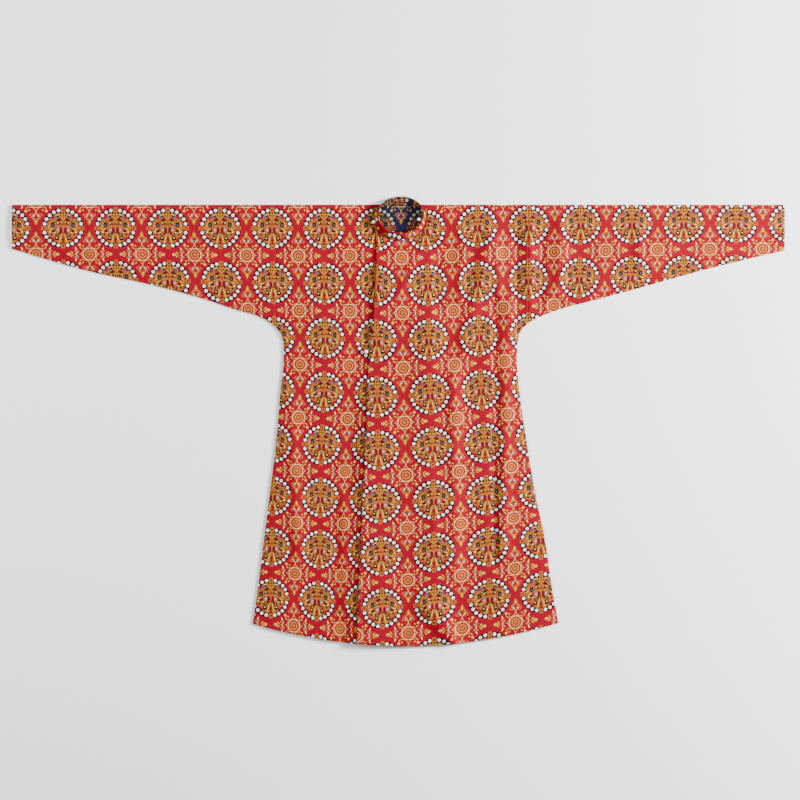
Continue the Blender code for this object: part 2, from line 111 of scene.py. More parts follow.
# Chart of the flowering tree inside a ring, for its right half: kind, x, y, half length, half width,
# turn in degrees, dye. The left half mirrors it.
TREE = (
    ("leaf", 9.7, 11.2, 3.4, 1.3, -46, "ground"),
    ("leaf", 14.0, 4.6, 4.4, 0.5, -68, "orange"),
    ("leaf", 12.7, 3.8, 4.8, 0.45, -66, "straw"),
    ("leaf", 11.5, 5.4, 3.4, 0.5, -61, "ground"),
    ("leaf", 3.0, 9.6, 3.2, 1.1, 40, "crimson"),
    ("leaf", 5.4, 7.4, 2.4, 0.8, -75, "crimson"),
    ("leaf", 0.0, 12.8, 4.6, 4.0, 90, "gold"),
    ("dot", 0.0, 15.2, 0.95, 0.95, 0, "purple"),
    ("dot", 2.8, 15.1, 0.95, 1.0, 0, "purple"),
    ("dot", 0.0, 12.4, 0.8, 0.75, 0, "purple"),
    ("dot", 2.3, 12.5, 0.8, 0.75, 0, "purple"),
    ("dot", 0.0, 10.6, 0.7, 0.6, 0, "ground"),
    ("leaf", 6.3, 13.2, 2.4, 0.6, -26, "straw"),
    ("leaf", 6.9, 11.2, 2.4, 1.5, -48, "slate"),
    ("dot", 5.3, 12.1, 1.0, 0.9, 0, "ink"),
    ("dot", 9.0, 8.3, 1.3, 1.1, 0, "gold"),
    ("dot", 9.0, 8.3, 0.8, 0.7, 0, "mauve"),
    ("dot", 4.1, 8.2, 1.3, 0.9, 20, "ink"),
    ("dot", 2.2, 7.4, 0.9, 0.7, 0, "olive"),
    ("dot", 5.0, 5.2, 2.1, 1.5, 0, "ink"),
    ("dot", 5.2, 5.5, 1.1, 0.8, 0, "straw"),
    ("dot", 3.4, 4.6, 0.8, 1.0, 0, "ink"),
    ("leaf", 9.8, 3.0, 3.0, 1.9, 78, "ink"),
    ("dot", 9.9, 3.0, 1.3, 0.8, 78, "slate"),
    ("dot", 10.4, 0.6, 1.0, 0.8, 0, "ink"),
    ("leaf", 0.0, 5.4, 2.6, 0.6, 90, "orange"),
    ("leaf", 6.6, 1.3, 6.8, 0.5, -16, "gold"),
    ("leaf", 4.4, 2.8, 3.0, 0.45, -12, "orange"),
    ("leaf", 8.6, -1.0, 3.6, 0.9, -20, "ground"),
    ("leaf", 11.8, -1.4, 2.6, 0.5, -14, "straw"),
    ("leaf", 5.0, -1.5, 1.9, 1.3, 56, "pale"),
    ("dot", 6.6, -0.4, 0.8, 0.7, 0, "slate"),
    ("leaf", 2.1, -1.8, 3.3, 1.8, 86, "crimson"),
    ("leaf", 0.0, -1.4, 4.8, 0.5, 90, "gold"),
    ("dot", 3.1, -5.2, 1.2, 0.9, 40, "purple"),
    ("dot", 9.3, -2.9, 1.8, 0.9, -10, "ink"),
    ("dot", 12.8, -3.8, 0.8, 0.7, 0, "cream"),
    ("dot", 8.0, -4.6, 0.9, 0.6, 20, "straw"),
    ("dot", 6.5, -6.7, 1.7, 0.9, 82, "ink"),
    ("dot", 6.2, -6.7, 0.9, 0.4, 82, "slate"),
    ("dot", 11.0, -6.6, 1.1, 0.9, 0, "ink"),
    ("dot", 9.6, -8.2, 0.9, 0.7, 50, "orange"),
    ("leaf", 13.2, -7.2, 3.4, 0.7, 63, "orange"),
    ("leaf", 10.4, -11.6, 4.8, 1.1, 44, "ground"),
    ("dot", 6.0, -10.4, 2.2, 2.0, 90, "ink"),
    ("dot", 6.0, -10.0, 0.65, 0.6, 0, "cream"),
    ("leaf", 2.5, -10.4, 5.2, 0.55, 105, "straw"),
    ("leaf", 1.1, -9.4, 4.0, 0.6, 99, "ground"),
    ("leaf", 0.0, -7.2, 2.4, 0.9, 90, "olive"),
    ("leaf", 0.0, -12.6, 3.2, 0.9, 90, "crimson"),
    ("leaf", 1.6, -13.6, 2.6, 0.5, 98, "orange"),
    ("leaf", 4.5, -14.0, 2.4, 0.6, 34, "gold"),
)

# Chart of the rosette between four rings, for its upper right quarter. The other three mirror it.
ROSETTE = (
    ("leaf", 0.0, 20.6, 3.3, 1.7, 90, "gold"),
    ("leaf", 0.0, 20.2, 1.7, 0.6, 90, "straw"),
    ("leaf", 2.5, 17.5, 2.4, 0.9, 120, "gold"),
    ("dot", 0.0, 17.0, 1.6, 0.9, 0, "orange"),
    ("dot", 0.0, 16.9, 0.7, 0.7, 0, "ground"),
    ("leaf", 3.9, 15.6, 1.9, 0.7, 62, "gold"),
    ("leaf", 5.5, 13.6, 1.9, 0.9, 62, "rose"),
    ("leaf", 3.7, 12.5, 1.8, 0.6, 40, "orange"),
    ("dot", 2.2, 14.6, 1.3, 0.9, 28, "pale"),
    ("leaf", 1.7, 13.1, 1.7, 0.4, 20, "straw"),
    ("dot", 0.0, 14.4, 0.8, 0.9, 0, "ground"),
    ("leaf", 20.4, 0.0, 2.4, 1.5, 0, "straw"),
    ("leaf", 20.2, 0.0, 1.2, 0.6, 0, "gold"),
    ("leaf", 17.5, 1.7, 1.9, 0.5, 45, "straw"),
    ("dot", 15.6, 0.0, 1.7, 0.8, 0, "orange"),
    ("leaf", 13.2, 0.0, 1.7, 0.35, 90, "cream"),
    ("leaf", 12.0, 2.2, 1.8, 0.55, -30, "pale"),
    ("leaf", 14.1, 2.9, 1.9, 0.8, 40, "gold"),
    ("leaf", 11.5, 4.6, 1.7, 0.6, 52, "orange"),
    ("leaf", 13.5, 5.7, 2.1, 0.5, 70, "cream"),
    ("dot", 6.5, 8.8, 0.8, 0.7, 50, "straw"),
    ("leaf", 8.8, 6.5, 1.5, 0.5, 40, "straw"),
    ("leaf", 9.8, 9.8, 1.6, 1.3, 45, "straw"),
)

# Dyes of the face and of the reverse, as linear colours.
FACE = {
    "ground": (0.222, 0.002, 0.012),
    "halo": (0.270, 0.002, 0.013),
    "ring": (0.002, 0.004, 0.003),
    "pearl": (0.850, 0.790, 0.770),
    "pearl_dot": (0.090, 0.055, 0.075),
    "bar": (0.040, 0.024, 0.012),
    "tab": (0.290, 0.095, 0.018),
    "tab_heart": (0.283, 0.002, 0.006),
    "field": (0.225, 0.095, 0.010),
    "gold": (0.300, 0.130, 0.012),
    "straw": (0.520, 0.350, 0.050),
    "cream": (0.740, 0.660, 0.260),
    "pale": (0.230, 0.260, 0.290),
    "orange": (0.340, 0.030, 0.005),
    "rose": (0.438, 0.050, 0.027),
    "crimson": (0.127, 0.002, 0.011),
    "olive": (0.120, 0.095, 0.022),
    "slate": (0.049, 0.068, 0.093),
    "mauve": (0.090, 0.029, 0.040),
    "purple": (0.035, 0.002, 0.011),
    "ink": (0.003, 0.003, 0.006),
}
REVERSE = {
    "ground": (0.008, 0.006, 0.028),
    "halo": (0.008, 0.006, 0.030),
    "ring": (0.002, 0.002, 0.002),
    "pearl": (0.360, 0.320, 0.210),
    "pearl_dot": (0.063, 0.054, 0.054),
    "bar": (0.023, 0.018, 0.013),
    "tab": (0.204, 0.028, 0.007),
    "tab_heart": (0.038, 0.008, 0.018),
    "field": (0.017, 0.013, 0.008),
    "gold": (0.183, 0.076, 0.013),
    "straw": (0.260, 0.180, 0.010),
    "cream": (0.330, 0.320, 0.110),
    "pale": (0.110, 0.123, 0.135),
    "orange": (0.306, 0.020, 0.002),
    "rose": (0.206, 0.032, 0.014),
    "crimson": (0.077, 0.008, 0.011),
    "olive": (0.033, 0.037, 0.013),
    "slate": (0.021, 0.028, 0.037),
    "mauve": (0.042, 0.017, 0.021),
    "purple": (0.014, 0.004, 0.011),
    "ink": (0.002, 0.002, 0.003),
}


# Dyes of the small leaves, each with the share of the leaves at which it starts.
LEAF_DYES = (
    (0.0, "ground"), (0.30, "orange"), (0.40, "field"), (0.53, "crimson"), (0.63, "ink"), (0.84, "olive"),
    (0.92, "slate"),
)


def foliage(tree, half, dyes):
    """The small leaves that fill the ring: cells about 2 steps wide in mixed dyes, each outlined in gold."""
    steps = {"voronoi_dimensions": "2D"}
    cell = put(tree, "ShaderNodeTexVoronoi", half, None, 0.55, 0.0, 0.5, 2.0, None, None, 0.85, **steps)
    edge = put(tree, "ShaderNodeTexVoronoi", half, None, 0.55, 0.0, 0.5, 2.0, None, None, 0.85,
               feature="DISTANCE_TO_EDGE", **steps)
    ramp = put(tree, "ShaderNodeValToRGB", put(tree, "ShaderNodeSeparateXYZ", cell.outputs["Color"]).outputs[0])
    bands = ramp.color_ramp
    bands.interpolation = "CONSTANT"
    bands.elements[1].position = LEAF_DYES[1][0]
    for _ in LEAF_DYES[2:]:
        bands.elements.new(0.5)
    for element, (start, name) in zip(bands.elements, LEAF_DYES):
        element.position = start
        element.color = (*dyes[name], 1)
    return paint(tree, ramp.outputs[0], inside(tree, edge.outputs["Distance"], 0.11, 0.08), dyes["gold"])


def ringed_tree(tree, colour, repeat, dyes):
    """The roundel, about the middle of a repeat: round(uv) is taken away, the rest is measured in steps.
    The ring lies between two radii, and its pearls stand at equal angles in each quarter."""
    centred = vector(tree, "SUBTRACT", vector(tree, "FRACTION", vector(tree, "ADD", repeat, (0.5, 0.5, 0))),
                     (0.5, 0.5, 0))
    place = vector(tree, "MULTIPLY", centred, REPEAT_STEPS)
    radius = vector(tree, "LENGTH", place, out="Value")
    parts = put(tree, "ShaderNodeSeparateXYZ", place)
    across = maths(tree, "ABSOLUTE", parts.outputs[0])
    half = put(tree, "ShaderNodeCombineXYZ", across, parts.outputs[1], 1.0).outputs[0]
    colour = paint(tree, colour, inside(tree, radius, RING_OUTER + 0.9, 1.2), dyes["halo"])
    colour = paint(tree, colour, inside(tree, radius, RING_OUTER), dyes["ring"])
    colour = paint(tree, colour, inside(tree, radius, RING_INNER), foliage(tree, half, dyes))
    for kind, x, y, length, width, turn, name in TREE:
        colour = paint(tree, colour, figure(tree, half, kind, x, y, length, width, turn), dyes[name])
    rim = maths(tree, "ABSOLUTE", maths(tree, "SUBTRACT", radius, (RING_INNER + RING_OUTER) / 2))
    colour = paint(tree, colour, inside(tree, rim, (RING_OUTER - RING_INNER) / 2), dyes["ring"])
    angle = maths(tree, "ARCTAN2", maths(tree, "ABSOLUTE", parts.outputs[1]), across)
    turned = maths(tree, "SUBTRACT", angle, math.pi / 4)
    count = maths(tree, "DIVIDE", turned, PEARL_SPACING)
    nearest = maths(tree, "SUBTRACT", count, maths(tree, "ROUND", count))
    along = maths(tree, "MULTIPLY", nearest, PEARL_SPACING * PEARL_CIRCLE)
    out = maths(tree, "SUBTRACT", radius, PEARL_CIRCLE)
    to_pearl = vector(tree, "LENGTH", put(tree, "ShaderNodeCombineXYZ", along, out).outputs[0], out="Value")
    bars = maths(tree, "MINIMUM", inside(tree, maths(tree, "ABSOLUTE", out), 1.2),
                 inside(tree, maths(tree, "SUBTRACT", 0.5, maths(tree, "ABSOLUTE", nearest)), 0.045, 0.05))
    colour = paint(tree, colour, bars, dyes["bar"])
    colour = paint(tree, colour, inside(tree, to_pearl, PEARL_RADIUS), dyes["pearl"])
    colour = paint(tree, colour, inside(tree, to_pearl, 0.55, 0.5), dyes["pearl_dot"])
    from_axis = maths(tree, "SUBTRACT", math.pi / 4, maths(tree, "ABSOLUTE", turned))
    on_ring = inside(tree, rim, (RING_OUTER - RING_INNER) / 2)
    tab = maths(tree, "MINIMUM", on_ring, inside(tree, from_axis, math.pi / 4 - TAB_ANGLE, 0.02))
    colour = paint(tree, colour, tab, dyes["tab"])
    heart = maths(tree, "MAXIMUM", maths(tree, "MULTIPLY", from_axis, PEARL_CIRCLE), maths(tree, "ABSOLUTE", out))
    return paint(tree, colour, inside(tree, heart, 1.15), dyes["tab_heart"])


def rosette(tree, colour, repeat, dyes):
    """The rosette, about the corner of a repeat: rings about its middle, then an outline of four hollow
    sides, which is where the nearer of two circles in each quarter begins, then the leaves of the chart."""
    centred = vector(tree, "SUBTRACT", vector(tree, "FRACTION", repeat), (0.5, 0.5, 0))
    place = vector(tree, "ABSOLUTE", vector(tree, "MULTIPLY", centred, REPEAT_STEPS))
    radius = vector(tree, "LENGTH", place, out="Value")
    quarter = vector(tree, "ADD", place, (0, 0, 1))
    for kind, x, y, length, width, turn, name in ROSETTE:
        colour = paint(tree, colour, figure(tree, quarter, kind, x, y, length, width, turn), dyes[name])
    upper = maths(tree, "SUBTRACT", vector(tree, "DISTANCE", place, (5.4, 11.2, 0), out="Value"), 5.2)
    side = maths(tree, "SUBTRACT", vector(tree, "DISTANCE", place, (10.9, 4.1, 0), out="Value"), 4.4)
    line = maths(tree, "ABSOLUTE", maths(tree, "MINIMUM", upper, side))
    within = inside(tree, vector(tree, "DOT_PRODUCT", place, (1, 1, 0), out="Value"), 12.6)
    colour = paint(tree, colour, maths(tree, "MINIMUM", inside(tree, line, 0.24), within), dyes["straw"])
    for edge, name in ((6.5, "cream"), (6.0, "ground"), (4.9, "orange"), (4.45, "ground"), (3.8, "straw"),
                       (3.4, "rose"), (2.7, "crimson"), (1.8, "gold")):
        colour = paint(tree, colour, inside(tree, radius, edge), dyes[name])
    return colour


def brocade(name, dyes, gloss_tint):
    """The woven silk: figures in colour, threads as fine ribs, uneven by a little from place to place."""
    material, tree, shader = new_material(name)
    repeat = put(tree, "ShaderNodeUVMap", uv_map="cloth").outputs[0]
    colour = rosette(tree, dyes["ground"], repeat, dyes)
    colour = ringed_tree(tree, colour, repeat, dyes)
    along_weft = put(tree, "ShaderNodeMapping", repeat, None, None, (9, 240, 1)).outputs[0]
    slub = put(tree, "ShaderNodeTexNoise", along_weft, None, 1.0, 2.0, 0.6)
    depth = put(tree, "ShaderNodeMapRange", slub.outputs[0], 0.3, 0.7, 0.9, 1.08)
    patchy = put(tree, "ShaderNodeTexNoise", repeat, None, 2.2, 2.0, 0.5)
    patch = put(tree, "ShaderNodeMapRange", patchy.outputs[0], 0.3, 0.7, 0.95, 1.05)
    level = maths(tree, "MULTIPLY", depth.outputs[0], patch.outputs[0])
    tint = put(tree, "ShaderNodeHueSaturation", None, None, level, 1.0, colour)
    tree.links.new(tint.outputs[0], shader.inputs["Base Color"])
    ribs = put(tree, "ShaderNodeTexWave", repeat, 42.0, 0.6, 2.0, 2.0, wave_type="BANDS",
               bands_direction="DIAGONAL")
    threads = maths(tree, "ADD", ribs.outputs["Fac"], slub.outputs[0])
    bump = put(tree, "ShaderNodeBump", 0.25, 0.0004, None, threads)
    tree.links.new(bump.outputs[0], shader.inputs["Normal"])
    rough = put(tree, "ShaderNodeMapRange", slub.outputs[0], 0.3, 0.7, 0.50, 0.66)
    tree.links.new(rough.outputs[0], shader.inputs["Roughness"])
    shader.inputs["Sheen Weight"].default_value = 0.02
    shader.inputs["Sheen Roughness"].default_value = 0.4
    shader.inputs["Specular IOR Level"].default_value = 0.16
    shader.inputs["Specular Tint"].default_value = gloss_tint
    return material


red_face = brocade("red_brocade", FACE, (1.0, 0.12, 0.1, 1))
navy_reverse = brocade("navy_reverse", REVERSE, (0.7, 0.7, 1.0, 1))


# The back panel: one length of brocade from the shoulder line to the hem, flat on the surface, with its
# red face down. Side seams and armholes join it to the fronts and the sleeves.
CLOTH = 0.0012
SEAM_GAP = 0.0003      # between layers that touch
SEWN = 0.00002         # half the hair's breadth left between two pieces at a seam
LAYER_GAP = 0.0006
SHOULDER_Y = 0.5595
CUFF_X = 1.0
RIGHT_SEAM_X, LEFT_SEAM_X = -0.3165, 0.3359
REPEAT_WIDE, REPEAT_HIGH = 0.1357, 0.1403
HEM_LOW_Y, HEM_MID_X, HEM_HALF, HEM_RISE = -0.5815, 0.0149, 0.396, 0.0577
# Side edge of the body, from the hem's corner to the armhole: height, edge x.
RIGHT_SIDE = (
    (-0.5250, -0.3766), (-0.4326, -0.3631), (-0.3083, -0.3476), (-0.1841, -0.3320), (-0.0598, -0.3165),
    (0.0645, -0.3061), (0.1680, -0.2963), (0.2094, -0.2984), (0.2302, -0.3061), (0.2418, -0.3165),
)
LEFT_SIDE = (
    (-0.5228, 0.4144), (-0.4326, 0.3981), (-0.3083, 0.3799), (-0.1841, 0.3540), (-0.0598, 0.3333),
    (0.0645, 0.3152), (0.1680, 0.3074), (0.2094, 0.3100), (0.2302, 0.3152), (0.2535, 0.3359),
)
# Lower edge of each sleeve, from the armhole to the cuff: distance from the middle, height.
RIGHT_SLEEVE = (
    (0.3165, 0.2418), (0.3269, 0.2509), (0.3631, 0.2716), (0.4097, 0.2845),
    (0.5029, 0.3156), (0.6272, 0.3493), (0.8136, 0.3907), (1.0, 0.4450),
)
LEFT_SLEEVE = (
    (0.3359, 0.2535), (0.3722, 0.2716), (0.4291, 0.2923),
    (0.4912, 0.3078), (0.6155, 0.3415), (0.8019, 0.3933), (1.0, 0.4412),
)
# Creases pressed into the back while it lay folded: start, end, height, half width.
BACK_CREASES = (
    (0.012, 0.47, 0.020, -0.50, 0.0016, 0.012),
    (-0.190, 0.30, -0.214, -0.42, 0.0012, 0.010),
    (0.214, 0.34, 0.236, -0.38, 0.0014, 0.011),
    (-0.110, -0.02, 0.140, -0.05, 0.0008, 0.010),
    (-0.250, -0.46, -0.060, -0.40, 0.0010, 0.014),
    (0.120, 0.44, 0.045, 0.22, 0.0011, 0.012),
)


def ease(t):
    """A smooth step from 0 to 1: t*t*(3 - 2t)."""
    t = np.clip(t, 0.0, 1.0)
    return t * t * (3.0 - 2.0 * t)


def through(table, at, column=1):
    """A smooth curve through one column of a table, read against its first: cubic pieces that share slopes."""
    rows = np.array(table)
    knots, values = rows[:, 0], rows[:, column]
    slopes = np.gradient(values, knots)
    k = np.clip(np.searchsorted(knots, at) - 1, 0, len(knots) - 2)
    step = knots[k + 1] - knots[k]
    t = np.clip((at - knots[k]) / step, 0.0, 1.0)
    start = values[k] * (1 + 2 * t) + slopes[k] * step * t
    end = values[k + 1] * (3 - 2 * t) - slopes[k + 1] * step * (1 - t)
    return start * (1 - t) ** 2 + end * t**2


def hem_y(x):
    """The hem is a shallow arc: the rise grows with the square of the distance from its middle."""
    return HEM_LOW_Y + HEM_RISE * ((x - HEM_MID_X) / HEM_HALF) ** 2


def side_x(table, seam_x, y):
    """The body's side edge, and above it the straight armhole seam."""
    return np.where(y < table[-1][0], through(table, np.minimum(y, table[-1][0])), seam_x)


def edge_path(side, sleeve, direction):
    """The sewn edge from the hem up the side and along under the sleeve to the cuff."""
    heights = np.linspace(side[0][0], side[-1][0], 24)
    reach = np.linspace(sleeve[0][0], CUFF_X, 16)[1:]
    up_side = np.column_stack([through(side, heights), heights])
    return np.vstack([up_side, np.column_stack([direction * reach, through(sleeve, reach)])])


def path_distance(path, x, y):
    """Shortest distance from each point to a chain of straight stretches."""
    nearest = np.full(np.shape(x), np.inf)
    for (ax, ay), (bx, by) in zip(path[:-1], path[1:]):
        dx, dy = bx - ax, by - ay
        t = np.clip(((x - ax) * dx + (y - ay) * dy) / (dx * dx + dy * dy), 0.0, 1.0)
        nearest = np.minimum(nearest, np.hypot(x - ax - t * dx, y - ay - t * dy))
    return nearest


def sewn_rise(x, y):
    """0 at the robe's sewn edges and 1 well inside them: 1 - exp(-distance / 30 mm)."""
    edge = SHOULDER_Y - y
    edge = np.minimum(edge, path_distance(edge_path(RIGHT_SIDE, RIGHT_SLEEVE, -1), x, y))
    edge = np.minimum(edge, path_distance(edge_path(LEFT_SIDE, LEFT_SLEEVE, 1), x, y))
    return 1 - np.exp(-np.maximum(edge, 0.0) / 0.030)


def creased(x, y, creases, run=0.060):
    """Each crease is a soft ridge or trough, height * exp(-(across / half width)^2), dying out past its ends."""
    total = np.zeros(np.shape(x))
    for x0, y0, x1, y1, height, width in creases:
        dx, dy = x1 - x0, y1 - y0
        length = math.hypot(dx, dy)
        along = ((x - x0) * dx + (y - y0) * dy) / length
        across = ((y - y0) * dx - (x - x0) * dy) / length
        beyond = np.maximum(np.maximum(-along, along - length), 0.0)
        total = total + height * np.exp(-((across / width) ** 2)) * (1 - ease(beyond / run))
    return total


def coons(left, right, bottom, top):
    """A patch between four edges: both ruled surfaces added, less the one through the corners."""
    v = np.linspace(0, 1, len(left))[:, None, None]
    u = np.linspace(0, 1, len(bottom))[None, :, None]
    corners = (1 - v) * ((1 - u) * bottom[0] + u * bottom[-1]) + v * ((1 - u) * top[0] + u * top[-1])
    return (1 - v) * bottom[None] + v * top[None] + (1 - u) * left[:, None] + u * right[:, None] - corners


def cloth_piece(name, grids, node, thickness=CLOTH, offset=-1.0, flip=False):
    """Joins grids of points, each with its print coordinates, into one sheet. Edges that meet are merged,
    and Solidify gives the wall: the first material on the face, the second on the reverse. Its rims shade
    crisply, because each normal is weighted by the size of the faces."""
    points, faces, prints, first = [], [], [], 0
    for grid, repeats in grids:
        k = np.arange(grid[..., 0].size).reshape(grid.shape[:2]) + first
        quads = np.stack([k[:-1, :-1], k[:-1, 1:], k[1:, 1:], k[1:, :-1]], axis=-1).reshape(-1, 4)
        faces.append(quads[:, ::-1] if flip else quads)
        points.append(grid.reshape(-1, 3))
        prints.append(repeats.reshape(-1, 2))
        first += k.size
    mesh = bpy.data.meshes.new(name)
    mesh.from_pydata(np.vstack(points).tolist(), [], np.vstack(faces).tolist())
    corners = np.empty(len(mesh.loops), dtype=np.int32)
    mesh.loops.foreach_get("vertex_index", corners)
    layer = mesh.uv_layers.new(name="cloth")
    layer.data.foreach_set("uv", np.vstack(prints)[corners].astype(np.float32).ravel())
    joined = bmesh.new()
    joined.from_mesh(mesh)
    bmesh.ops.remove_doubles(joined, verts=joined.verts, dist=2e-5)
    joined.to_mesh(mesh)
    joined.free()
    mesh.shade_smooth()
    mesh.materials.append(red_face)
    mesh.materials.append(navy_reverse)
    piece = bpy.data.objects.new(name, mesh)
    bpy.context.scene.collection.objects.link(piece)
    wall = piece.modifiers.new("Wall", "SOLIDIFY")
    wall.thickness = thickness
    wall.offset = offset
    wall.material_offset = 1
    rims = piece.modifiers.new("Crisp rims", "WEIGHTED_NORMAL")
    rims.weight = 100
    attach(piece, "root")
    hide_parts(node)
    return piece


def across_to_seams(y):
    """The body's two outer edges at a height, a hair's breadth inside the armhole seams."""
    right = side_x(RIGHT_SIDE, RIGHT_SEAM_X + SEWN, y)
    left = side_x(LEFT_SIDE, LEFT_SEAM_X - SEWN, y)
    return right, left


heights = np.linspace(RIGHT_SIDE[0][0], SHOULDER_Y, 171)
right_edge = np.column_stack([across_to_seams(heights)[0], heights])
heights = np.linspace(LEFT_SIDE[0][0], SHOULDER_Y, 171)
left_edge = np.column_stack([across_to_seams(heights)[1], heights])
hem = np.linspace(right_edge[0][0], left_edge[0][0], 117)
shoulder = np.linspace(right_edge[-1][0], left_edge[-1][0], 117)
plan = coons(right_edge, left_edge, np.column_stack([hem, hem_y(hem)]),
             np.column_stack([shoulder, np.full(117, SHOULDER_Y)]))
x, y = plan[..., 0], plan[..., 1]
lift = creased(x, y, BACK_CREASES) * sewn_rise(x, y)
repeats = np.dstack([(x + 0.0584) / 0.1315, (y - 0.4994) / REPEAT_HIGH])
back = cloth_piece("back_cloth", [(np.dstack([x, y, lift]), repeats)], "back", flip=True)


# The wearer's right front: it lies beneath the other front, sewn to the back along its side, the armhole
# and the shoulder. Its covered edge runs straight from the neck down to the hem.
LOFT = 0.0030
FOLDS = (
    (0.1450, 0.1059, 0.1450, -0.3860, 0.0060, 0.022),
    (0.2375, 0.4684, 0.1728, 0.1965, 0.0050, 0.022),
    (0.2893, 0.3000, 0.2700, -0.3213, 0.0050, 0.018),
    (0.2560, 0.4200, 0.2600, 0.3250, 0.0032, 0.013),
    (0.1680, 0.5000, 0.1600, 0.3300, 0.0028, 0.016),
    (0.0750, 0.2500, 0.0850, -0.4800, 0.0045, 0.045),
    (0.3385, 0.4942, 0.3385, 0.2742, 0.0040, 0.014),
    (0.0822, -0.4896, 0.1392, -0.5724, 0.0050, 0.020),
    (-0.1379, -0.2307, -0.1379, -0.4792, 0.0035, 0.016),
    (-0.2777, 0.0412, -0.2614, -0.3213, 0.0030, 0.016),
    (0.6259, 0.4890, 0.6311, 0.3855, 0.0030, 0.018),
    (-0.9016, 0.5046, -0.8084, 0.4269, 0.0025, 0.018),
)
# Smaller creases of the front layer: start, end, height and half width. A trough has a negative height.
FRONT_CREASES = (
    (0.2505, 0.3130, 0.2505, -0.3601, -0.00275, 0.010),
    (0.3023, 0.4813, 0.3049, 0.2664, -0.00225, 0.008),
    (0.3722, 0.4813, 0.3696, 0.2742, -0.00225, 0.008),
    (0.4210, 0.5300, 0.4160, 0.3300, 0.0045, 0.018),
    (0.4000, 0.3363, 0.3560, 0.2742, 0.003, 0.010),
    (0.0644, 0.4554, 0.0055, 0.3389, 0.00225, 0.011),
    (0.1029, 0.4036, 0.1029, 0.2871, -0.001875, 0.010),
    (0.0951, -0.2048, 0.0951, -0.2825, 0.00175, 0.011),
    (0.0304, -0.5700, 0.0693, -0.4896, 0.00225, 0.009),
    (0.1469, -0.5700, 0.1081, -0.4766, 0.0025, 0.009),
    (-0.9275, 0.4891, -0.8239, 0.4010, 0.00175, 0.008),
    (-0.9068, 0.5072, -0.8058, 0.4243, -0.00175, 0.008),
    (0.6388, 0.4813, 0.6388, 0.3907, -0.002, 0.008),
)
NECK_X, NECK_Y = 0.0045, 0.5253
NECK_HALF, NECK_DROP = 0.0660, 0.0583
NECK_TOP = SHOULDER_Y - NECK_Y
COVERED_NECK = (0.0700, 0.5067)
COVERED_HEM_X = 0.1340
COVERED_TOP = 0.5450
INNER_INSET = 0.0040
NECK_CLEAR = 0.0028
YOKE_ANGLE = 30.0
COVERED_NECK_END, FREE_NECK_START = 341.0, 204.5
SQUARE_LIMIT = 0.83
# The covered band's end moves inwards above this height, over this run.
INSET_LOW_Y, INSET_RUN = 0.5212, 0.0272
CALM_LOFT = 0.35       # share of the loft that is left beside the neck
SEAM_RELIEF = 0.0002
# The free edge of the crossing front: height, edge x, and how far the cloth stands up there.
FREE_EDGE = (
    (-0.5763, -0.1073, 0.0085), (-0.3860, -0.1003, 0.0090), (-0.2566, -0.0939, 0.0080),
    (-0.0624, -0.0848, 0.0070), (0.1551, -0.0765, 0.0030), (0.2612, -0.0654, 0.0036),
    (0.4036, -0.0576, 0.0032), (0.5004, -0.0570, 0.0),
)
FREE_EDGE_RUN, STAND_RUN = 0.030, 0.120
# The covered front swells below the free edge by this share of its stand. The slope beside the edge is
# this wide by the hem and by the chest, and narrows from this height on, over this run.
SWELL_SHARE = 0.94
SLOPE_LOW, SLOPE_HIGH, NARROWS_FROM, NARROWS_OVER = 0.036, 0.012, 0.08, 0.12
# Where the rings of the print lie on this front and its sleeve. Columns: x at each of these heights.
RIGHT_COLUMN_HEIGHTS = (0.4981, 0.3557, 0.2146, 0.0748, -0.0624, -0.1970, -0.3329, -0.4650)
RIGHT_COLUMNS = (
    (-1.0078, -1.0078, -1.0078, -1.0078, -1.0078, -1.0078, -1.0078, -1.0078),
    (-0.8664, -0.8664, -0.8664, -0.8664, -0.8664, -0.8664, -0.8664, -0.8664),
    (-0.7318, -0.7282, -0.7256, -0.7256, -0.7307, -0.7307, -0.7333, -0.7359),
    (-0.5966, -0.5909, -0.5884, -0.5884, -0.5961, -0.5961, -0.5987, -0.6013),
    (-0.4610, -0.4563, -0.4537, -0.4537, -0.4615, -0.4615, -0.4641, -0.4667),
    (-0.3261, -0.3243, -0.3191, -0.3165, -0.3243, -0.3243, -0.3269, -0.3295),
    (-0.1920, -0.1920, -0.1886, -0.1917, -0.1984, -0.2016, -0.2023, -0.2106),
    (-0.0584, -0.0576, -0.0602, -0.0641, -0.0706, -0.0783, -0.0848, -0.0913),
)
# Rows: height at each of these x.
RIGHT_ROW_PLACES = (-0.7256, -0.3191, -0.1922, -0.0602)
RIGHT_ROWS = (
    (0.4981, 0.4981, 0.4981, 0.4981), (0.3648, 0.3570, 0.3552, 0.3596), (0.2198, 0.2172, 0.2136, 0.2095),
    (0.0826, 0.0800, 0.0746, 0.0722), (-0.0546, -0.0572, -0.0624, -0.0624), (-0.1918, -0.1944, -0.1994, -0.1970),
    (-0.3239, -0.3265, -0.3337, -0.3342), (-0.4533, -0.4559, -0.4652, -0.4715),
)


def repeats_passed(place, lines, spacing):
    """Counts the repeats from the first line to each place: the shares of every gap between neighbouring
    lines that lie before the place, and whole repeats of the standard spacing beyond both ends."""
    passed = (np.minimum(place - lines[0], 0) + np.maximum(place - lines[-1], 0)) / spacing
    for low, high in zip(lines[:-1], lines[1:]):
        passed = passed + np.clip((place - low) / (high - low), 0, 1)
    return passed


